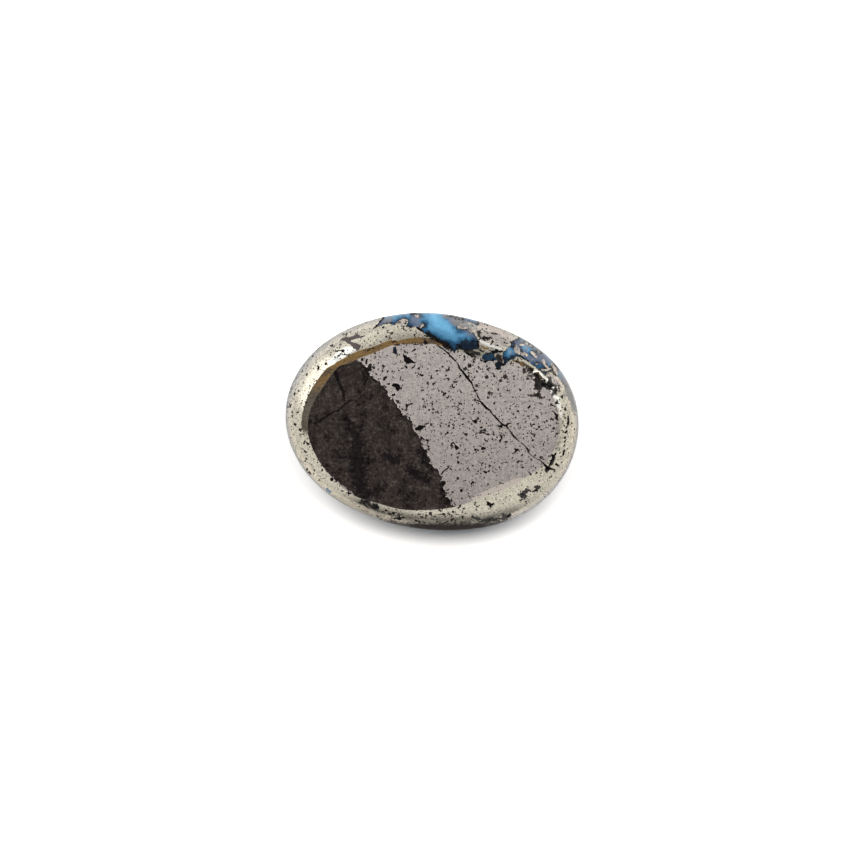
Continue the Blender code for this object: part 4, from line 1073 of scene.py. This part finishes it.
class Wire:
    """One output of a node, on which arithmetic adds Math nodes and methods add any other node."""

    def __init__(self, tree, socket=None):
        self.tree = tree
        self.socket = socket

    def node(self, kind, settings, sockets, output=0):
        """A new node: its settings first, then each socket's value or link, and its chosen output."""
        made = self.tree.nodes.new(kind)
        for name, value in settings.items():
            setattr(made, name, value)
        for name, value in sockets.items():
            if isinstance(value, Wire):
                self.tree.links.new(value.socket, made.inputs[name])
            else:
                made.inputs[name].default_value = value
        return Wire(self.tree, made.outputs[output])

    def math(self, operation, first, second):
        return self.node("ShaderNodeMath", {"operation": operation}, {0: first, 1: second})

    def __add__(self, other):
        return self.math("ADD", self, other)

    __radd__ = __add__

    def __sub__(self, other):
        return self.math("SUBTRACT", self, other)

    def __rsub__(self, other):
        return self.math("SUBTRACT", other, self)

    def __mul__(self, other):
        return self.math("MULTIPLY", self, other)

    __rmul__ = __mul__

    def smaller(self, other):
        return self.math("MINIMUM", self, other)

    def larger(self, other):
        return self.math("MAXIMUM", self, other)

    def size(self):
        return self.larger(0 - self)

    def step(self, low, high):
        """0 up to low and 1 from high on, smooth between; falling instead where low is the larger."""
        settings = {"interpolation_type": "SMOOTHSTEP"}
        return self.node("ShaderNodeMapRange", settings, {"Value": self, "From Min": low, "From Max": high})

    def inside(self, blur=0.012):
        """1 within a mark and 0 outside it, from the distance to its edge."""
        return self.step(blur, -blur)

    def field(self, name):
        """The number that the mesh keeps under this name."""
        return self.node("ShaderNodeAttribute", {"attribute_name": name}, {}, output="Fac")

    def stretch(self, scale):
        """A place moved apart by a scale on all axes, or by one on each."""
        settings = {"operation": "MULTIPLY"}
        return self.node("ShaderNodeVectorMath", settings, {0: self, 1: scale})

    def cloud(self, cell, detail=3.0):
        """Cloudy noise round 0 at this place, with lumps of about one cell."""
        sockets = {"Vector": self, "Scale": 1 / cell, "Detail": detail, "Roughness": 0.6}
        return self.node("ShaderNodeTexNoise", {}, sockets, output="Fac") - 0.5

    def seeds(self, cell):
        """Distance to the nearest of scattered seeds at this place, and a number from 0 to 1 drawn for it."""
        sockets = {"Vector": self, "Scale": 1 / cell}
        distance = self.node("ShaderNodeTexVoronoi", {}, sockets, output="Distance")
        drawn = self.node("ShaderNodeTexVoronoi", {}, sockets, output="Color")
        return distance * cell, self.node("ShaderNodeSeparateColor", {}, {"Color": drawn}, output="Red")

    def paint(self, over, share):
        """This colour with another laid over it by a share."""
        return self.node("ShaderNodeMix", {"data_type": "RGBA"}, {0: share, 6: self, 7: over}, output=2)

    def colour(self, values):
        """A plain colour."""
        return self.node("ShaderNodeMix", {"data_type": "RGBA"}, {0: 0.0, 6: values}, output=2)

    def shade(self, strength):
        """This colour made lighter or darker by a number."""
        return self.node("ShaderNodeVectorMath", {"operation": "SCALE"}, {0: self, "Scale": strength})

    def blend(self, under, over, share):
        """A number with another laid over it by a share."""
        return self.node("ShaderNodeMix", {}, {0: share, 2: under, 3: over})


# Pyrite: the flat's pinker tint and the bevel's warmer one are painted reflection, tints of the room each part
# mirrors.
PYRITE = (0.405, 0.363, 0.338, 1.0)
PYRITE_BEVEL = (0.400, 0.370, 0.304, 1.0)
# Painted shade: a darker, bluer pyrite for the rim near the girdle, dimming the floor that it mirrors.
PYRITE_LOW_SHADE = (0.246, 0.258, 0.270, 1.0)
# Painted highlight.
PYRITE_HIGHLIGHT = (0.640, 0.628, 0.580, 1.0)
# Painted sheen for the lower right facet.
PYRITE_FACET_SHEEN = (0.528, 0.464, 0.408, 1.0)
# The strip's brown: partly its own unpolished tone, partly a painted dark reflection.
GROUND_METAL_AND_REFLECTION = (0.088, 0.052, 0.018, 1.0)
GROUND_DARK = (0.028, 0.022, 0.015, 1.0)
GROUND_GREY = (0.056, 0.047, 0.036, 1.0)
ROCK = (0.0395, 0.0305, 0.0275, 1.0)
ROCK_LIGHT = (0.076, 0.069, 0.056, 1.0)
ROCK_BLACK = (0.009, 0.0068, 0.0078, 1.0)
PIT = (0.006, 0.005, 0.005, 1.0)
SLATE_GREY = (0.046, 0.037, 0.036, 1.0)
DULL_GREY = (0.034, 0.031, 0.029, 1.0)
# Painted shade: the dark band over the rim's lower edge.
RIM_SHADE_DARK = (0.033, 0.027, 0.026, 1.0)
TURQUOISE_LIGHT = (0.082, 0.218, 0.338, 1.0)
TURQUOISE_PALE = (0.102, 0.136, 0.166, 1.0)
TURQUOISE = (0.040, 0.124, 0.206, 1.0)
TURQUOISE_DARK = (0.006, 0.038, 0.080, 1.0)
TURQUOISE_BLACK = (0.005, 0.007, 0.012, 1.0)
TURQUOISE_HAZE = (0.066, 0.076, 0.106, 1.0)
VEIL_GREY = (0.098, 0.098, 0.100, 1.0)


def stone_finish():
    """The whole stone's finish, one kind of ground laid over another by the marks' edges.

    Pyrite lies under everything, with fine specks; its pinker tint on the flat and warmer tint on the
    bevel are painted reflection, and near the girdle it is painted darker as shade. Over it come the
    ground strip, partly a painted dark reflection, painted highlights and sheen, painted shade along the
    rim's lower edge, the host rock, the turquoise with its flakes, and the dark marks.
    """
    made = bpy.data.materials.new("polished turquoise and pyrite")
    made.use_nodes = True
    tree = made.node_tree
    shader = tree.nodes["Principled BSDF"]
    start = Wire(tree)
    place = start.node("ShaderNodeTexCoord", {}, {}, output="Object").stretch((1 / MM,) * 3)
    field = start.field

    fine = place.cloud(0.10, 4.0)
    small = place.cloud(0.26)
    middle = place.cloud(0.75)
    broad = place.cloud(2.2)
    ragged = fine * 0.20 + small * 0.20
    on_dome = field("dome")
    in_rock = (field("rock") + ragged * 1.6).larger(field("edge")).inside()

    on_flat = field("edge").inside()
    streaks = place.stretch((5.0, 0.4, 1.0)).cloud(1.0)
    height = start.node("ShaderNodeSeparateXYZ", {}, {0: place}, output="Z")
    width = start.node("ShaderNodeSeparateXYZ", {}, {0: place}, output="Y")
    # Painted reflection: the flat and the flakes take the pinker pyrite colour, the bevel the warmer one.
    rosy = on_flat.larger((field("flakes") + small).step(0.10, -0.15))
    # Painted shade: the rim near the girdle takes the darker, bluer colour, less of it towards the top.
    low = height.step(5.7, 4.5) * (1 - width.step(3.0, 7.0) * 0.4)
    pyrite = start.colour(PYRITE_BEVEL).paint(PYRITE_LOW_SHADE, low).paint(PYRITE, rosy)
    pyrite = pyrite.shade(1 + fine * 1.5 + small * 0.8 + middle * 0.35 + broad * 0.2)
    # Painted reflection: the flat is lighter towards the top and darker towards the bottom.
    pyrite = pyrite.shade(1 + (width * 0.03 + streaks * 0.30) * on_flat).shade(1 - (rosy - on_flat) * 0.25)
    roughness = start.blend(0.20, 0.22, on_flat) + small * 0.12

    crowd = broad * 0.22 + middle * 0.42 + field("rock").step(0.5, 0.0) * 0.08
    crowd = crowd + (field("grit") + small).step(0.20, -0.20) * 0.07 - (1 - on_flat) * 0.035
    crowd = crowd - (field("clear") + small).step(0.30, -0.30) * 0.13
    seed, drawn = place.seeds(0.36)
    specks = (seed + fine * 0.26 + small * 0.16 - (drawn - 0.46) * 0.21 - crowd.smaller(0.09)).step(0.012, -0.012)
    seed, drawn = place.seeds(0.16)
    faint = (seed + fine * 0.08 - (drawn - 0.42) * 0.125 - crowd * 0.10).step(0.012, -0.012)
    specks = specks.larger(faint)

    on_strip = (field("strip") + fine * 0.05).inside()
    on_ground = (field("ground") + ragged).inside().larger(on_strip * (width + small).step(-2.0, -1.3))
    # The strip's brown is partly its own unpolished tone and partly a painted dark reflection; it turns greyer
    # towards its lower end.
    ground = start.colour(GROUND_METAL_AND_REFLECTION).paint(GROUND_GREY, width.step(3.2, 1.0))
    ground = ground.paint(GROUND_DARK, (small + broad).step(0.0, 0.16) * 0.85)
    ground = ground.shade(1 + fine * 2.2 + small)

    rock = start.colour(ROCK).paint(ROCK_LIGHT, (small * 1.1 + middle * 0.8 + fine * 0.6).step(0.04, 0.26) * 0.6)
    rock = rock.paint(ROCK_BLACK, (small * 0.8 + middle * 1.0 + broad * 0.5).step(-0.08, -0.28) * 0.8)
    rock = rock.paint(ROCK_BLACK, (field("shade") + small * 1.5).step(0.35, -0.20) * 0.85)
    columns = place.stretch((1.5, 0.35, 1.0)).cloud(1.0)
    rock = rock.shade(1 + fine * 2.8 + small * 1.6 + middle * 1.2 + columns * 1.6)
    rock = rock.paint(ROCK_BLACK, (field("splits") + ragged).step(0.04, -0.02) * 0.9)
    rock = rock.paint(ROCK_BLACK, (field("rock") + ragged * 1.6).step(-0.16, 0.0) * 0.5)

    seed, drawn = place.seeds(1.5)
    dome_flakes = seed + small * 0.5 + middle * 0.8 - (drawn - 0.55) * 0.9 + (1 - on_dome) * 5
    flakes = (field("flakes") + ragged * 0.5).smaller(dome_flakes)
    area = field("turquoise") + ragged * 0.8
    gap = area.larger(0 - flakes)
    shown_turquoise = gap.inside()
    within = 0 - gap + middle * 0.9 + broad * 0.5 + on_dome * 0.5
    past = field("edge") + middle * 0.9 + small * 0.5 + on_dome * 3
    turquoise = start.colour(TURQUOISE_BLACK).paint(TURQUOISE_DARK, within.step(0.02, 0.16) * past.step(0.0, 0.45))
    turquoise = turquoise.paint(TURQUOISE, within.step(0.12, 0.50) * past.step(0.35, 1.0))
    turquoise = turquoise.paint(TURQUOISE_LIGHT, within.step(0.50, 1.40) * past.step(0.8, 1.8))
    turquoise = turquoise.paint(TURQUOISE_LIGHT, (field("bright") + small * 0.6).step(0.30, -0.30) * 0.6)
    turquoise = turquoise.paint(TURQUOISE, (field("light") + small * 0.6).step(0.30, 0.0) * 0.9)
    turquoise = turquoise.paint(TURQUOISE_PALE, (field("light") + small * 0.6).step(0.12, -0.25) * 0.9)
    turquoise = turquoise.paint(TURQUOISE_HAZE, (field("haze") + small * 0.6).step(0.18, -0.12) * 0.85)
    turquoise = turquoise.paint(TURQUOISE_DARK, (field("deep") + small * 0.3).step(0.45, 0.05) * 0.6)
    deepest = (field("deep") + small * 0.9 + middle * 0.5).step(0.16, -0.14)
    turquoise = turquoise.paint(TURQUOISE_BLACK, deepest * 0.9)
    swing = place.node("ShaderNodeTexNoise", {}, {"Vector": place, "Scale": 0.7, "Detail": 3.0}, output="Color")
    bent = place.node("ShaderNodeVectorMath", {}, {0: place, 1: swing.stretch((2.2,) * 3)})
    web = {"Vector": bent, "Scale": 1 / 2.4}
    web = place.node("ShaderNodeTexVoronoi", {"feature": "DISTANCE_TO_EDGE"}, web, output="Distance")
    web = (web + broad * 0.10).step(0.045, 0.005) * on_dome
    turquoise = turquoise.paint(TURQUOISE_BLACK, web * 0.9).shade(1 + fine * 0.5 + small * 0.3)
    sooty = (field("soot") + small * 0.6).step(0.30, -0.20)
    patchy = (small + middle * 0.5).step(-0.10, 0.0) * (1 - in_rock) * (1 - sooty * 0.7)
    outline = area.size().step(0.055, 0.02) * patchy
    flake_line = flakes.size().step(0.05, 0.015) * area.inside(0.06) * patchy
    outline = outline.larger(flake_line) * field("light").step(-0.05, 0.25) * field("haze").step(-0.20, 0.05)
    soot = (sooty - 0.60 + fine * 1.0 + small * 3.6).step(-0.05, 0.10) * sooty.step(0.0, 0.1) * (1 - in_rock)

    on_slate = (field("slate") + ragged).inside()
    veil = (field("veil") + small * 0.8 + middle * 0.4).step(0.15, -0.20) * 0.9 * (1 - in_rock)
    # Painted shade: a wide wash that darkens the rim, mostly along its lower edge.
    on_rim_shade_wash = (field("rim_shade_wash") + small * 0.8).step(0.50, -0.50) * (1 - in_rock)
    # Painted shade: a dark band over the rim's lower edge.
    on_rim_shade = (field("rim_shade") + small * 0.8).step(0.40, -0.40)
    # Painted highlights: where their strokes lie, the hollow and the dull ground are left out.
    highlight_grains = field("highlight_grains").inside(0.02)
    lobes = (field("lobes") + ragged * 1.6).inside() * (1 - highlight_grains)
    hollow = (field("hollow") + ragged * 1.3).inside() * (1 - highlight_grains)
    crack = (field("crack") + fine * 0.06).inside()
    blots = (field("blots") + ragged * 1.0).inside()
    dark = crack.larger(hollow * 0.94).larger(blots).larger((field("hairlines") + fine * 0.10).inside(0.02) * 0.65)
    specks = (specks * (1 - shown_turquoise) * (1 - on_ground)).larger(soot) * (1 - in_rock)

    # Painted sheen: the lower right facet, drawn lighter on the flat.
    facet_sheen = (field("facet_sheen") + small * 0.1).inside(0.04) * on_flat
    # Painted highlights laid over the pyrite.
    colour = pyrite.paint(PYRITE_FACET_SHEEN, facet_sheen).paint(PYRITE_HIGHLIGHT, (field("highlight_grains") + ragged * 1.3).inside(0.03))
    # The wash of painted shade darkens the rim by up to nearly half, and the dark band of painted shade lies over
    # its lower edge.
    colour = colour.shade(1 - on_rim_shade_wash * 0.45).paint(ground, on_ground * (1 - highlight_grains)).paint(rock, in_rock)
    colour = colour.paint(RIM_SHADE_DARK, on_rim_shade).paint(SLATE_GREY, on_slate).paint(turquoise, shown_turquoise)
    colour = colour.paint(VEIL_GREY, veil)
    colour = colour.paint(DULL_GREY, lobes).paint(PIT, dark.larger(specks * 0.95).larger(outline * 0.85))

    dark = dark.larger(specks).larger(outline)
    metallic = start.blend(1.0, 0.3, on_ground.larger(on_slate).larger(lobes))
    metallic = start.blend(metallic, 0.8, in_rock.larger(on_rim_shade))
    metallic = start.blend(metallic, 0.3 + deepest * 0.4, shown_turquoise.larger(veil))
    metallic = start.blend(metallic, 0.9, dark)
    roughness = start.blend(roughness, 0.55, on_ground.larger(lobes))
    roughness = start.blend(roughness, 0.85, in_rock.larger(on_rim_shade))
    roughness = start.blend(roughness, 0.12, shown_turquoise.larger(on_slate))
    roughness = start.blend(roughness, 0.60, dark)

    relief = (fine + small) * in_rock + fine * 0.03
    bump = start.node("ShaderNodeBump", {}, {"Strength": 0.8, "Distance": 0.12 * MM, "Height": relief}, "Normal")
    for name, value in (("Base Color", colour), ("Metallic", metallic), ("Roughness", roughness), ("Normal", bump)):
        tree.links.new(value.socket, shader.inputs[name])
    shader.inputs["Specular IOR Level"].default_value = 0.30
    shader.inputs["Specular Tint"].default_value = (0.6, 0.58, 0.56, 1.0)
    return made


def dome_marks(dome, dome_angle, below):
    """The back's marks carried over the girdle: each fades out down the dome, and turquoise takes its place."""
    rim = dome.copy()
    rim[:, :2] *= (girdle_radius(dome_angle) / np.hypot(*dome[:, :2].T).clip(1e-6))[:, None]
    rim[:, 2] = GIRDLE_HEIGHT
    carried = back_marks(rim)
    marks = {name: values + below * 0.6 for name, values in carried.items()}
    spread = lattice_noise(dome, 1.7, 8) * 1.1 + lattice_noise(dome, 0.7, 9) * 0.5
    marks["turquoise"] = np.minimum(carried["turquoise"] + below * 0.2, 1.3 - below + spread)
    return marks


def cabochon():
    """The stone itself: back, girdle and dome as one closed surface, with its marks and finish."""
    back, back_angle, past_flat, off_strip = back_surface()
    dome, dome_angle, below = dome_surface()
    marks = back_marks(back)
    marks.update(edge=past_flat, strip=off_strip, dome=np.zeros(len(back)))
    below_marks = dome_marks(dome, dome_angle, below)
    below_marks.update(edge=below + 1, strip=below + 1, dome=soft_step(below, 0.2, 1.0))

    sunk = back - grid_normals(back, BACK_RINGS) * back_depth(back, marks)[:, None]
    points = np.concatenate([sunk, dome])
    quads = np.concatenate([disc_faces(BACK_RINGS, True), disc_faces(DOME_RINGS, False) + len(back)])
    creases = np.concatenate([crease_marks(), np.zeros(len(dome), int)])
    made = write_mesh("cabochon", points, quads, girdle_faces(len(back)), creases)
    for name, values in marks.items():
        write_field(made.data, name, np.concatenate([values, below_marks[name]]))
    flat_points = np.concatenate([back, dome])
    write_bake_map(made.data, flat_points, np.concatenate([back_angle, dome_angle]), len(back))
    made.data.materials.append(stone_finish())
    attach(made, "root")
    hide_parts(NODE)


def floor():
    """A wide level pale sheet, just under the stone's crown."""
    half = 600.0
    corners = np.array([(-half, -half, 0), (half, -half, 0), (half, half, 0), (-half, half, 0)])
    made = write_mesh("floor", corners - (0, 0, 0.01), np.array([(0, 1, 2, 3)]), np.empty((0, 3), int))
    sheet = bpy.data.materials.new("pale sheet")
    sheet.use_nodes = True
    shader = sheet.node_tree.nodes["Principled BSDF"]
    shader.inputs["Base Color"].default_value = (0.93, 0.90, 0.875, 1)
    shader.inputs["Roughness"].default_value = 0.8
    made.data.materials.append(sheet)


def camera():
    """The photograph's camera, square to its own picture plane, with no shift."""
    axes = view_axes()
    made = bpy.data.cameras.new("camera")
    made.lens = LENS
    made.sensor_width = SENSOR
    made.clip_start = 0.01
    held = bpy.data.objects.new("camera", made)
    turned = Matrix(axes.tolist()).to_4x4()
    turned.translation = camera_place(axes) * MM
    held.matrix_world = turned
    bpy.context.scene.collection.objects.link(held)
    bpy.context.scene.camera = held


def way_to(side, height):
    """The direction at an angle round the stone from +X and an angle above the floor."""
    turn = Matrix.Rotation(math.radians(side), 4, "Z") @ Matrix.Rotation(math.radians(90 - height), 4, "Y")
    return turn @ Vector((0, 0, 1))


def key_light(side):
    """A soft lamp high behind the top edge. The polish doesn't show it, as from behind a diffuser."""
    size = 2 * LAMP_DISTANCE * MM * math.tan(math.radians(LAMP_ANGLE) / 2)
    made = bpy.data.lights.new("key lamp", "AREA")
    made.shape = "DISK"
    made.size = size
    made.energy = LAMP_LIGHT * math.pi * math.pi * size * size / 4
    held = bpy.data.objects.new("key lamp", made)
    turn = Matrix.Rotation(math.radians(side), 4, "Z") @ Matrix.Rotation(math.radians(90 - LAMP_HEIGHT), 4, "Y")
    held.matrix_world = turn @ Matrix.Translation((0, 0, LAMP_DISTANCE * MM))
    held.visible_glossy = False
    bpy.context.scene.collection.objects.link(held)


def studio():
    """Pale walls all round with soft brighter panels, darker overhead and on the near side, and two lamps."""
    world = bpy.data.worlds.new("studio")
    world.use_nodes = True
    tree = world.node_tree
    way = Wire(tree).node("ShaderNodeTexCoord", {}, {}, output="Generated")

    def near(side, height, full, end):
        """1 within an angle of a direction, 0 from a wider angle on."""
        sockets = {0: way, 1: way_to(side, height)}
        closeness = way.node("ShaderNodeVectorMath", {"operation": "DOT_PRODUCT"}, sockets, output="Value")
        return closeness.step(math.cos(math.radians(end)), math.cos(math.radians(full)))

    light = way.blend(WALL_LIGHT, NEAR_SIDE_LIGHT, near(*NEAR_SIDE))
    light = way.blend(light, OVERHEAD_LIGHT, near(*OVERHEAD))
    for side, height, full, end, panel in PANELS:
        light = way.blend(light, panel, near(side, height, full, end))
    spread = way.node("ShaderNodeLightPath", {}, {}, output="Is Diffuse Ray")
    far_side = way.node("ShaderNodeSeparateXYZ", {}, {0: way}, output="Y").step(0.0, 0.35)
    light = way.blend(light, far_side * FAR_LIGHT, spread)
    tree.links.new(light.socket, tree.nodes["Background"].inputs["Strength"])
    tree.nodes["Background"].inputs["Color"].default_value = (1, 1, 1, 1)
    bpy.context.scene.world = world
    for side in LAMP_SIDES:
        key_light(side)
    bpy.context.scene.view_settings.view_transform = "Standard"


camera()
studio()
floor()
cabochon()
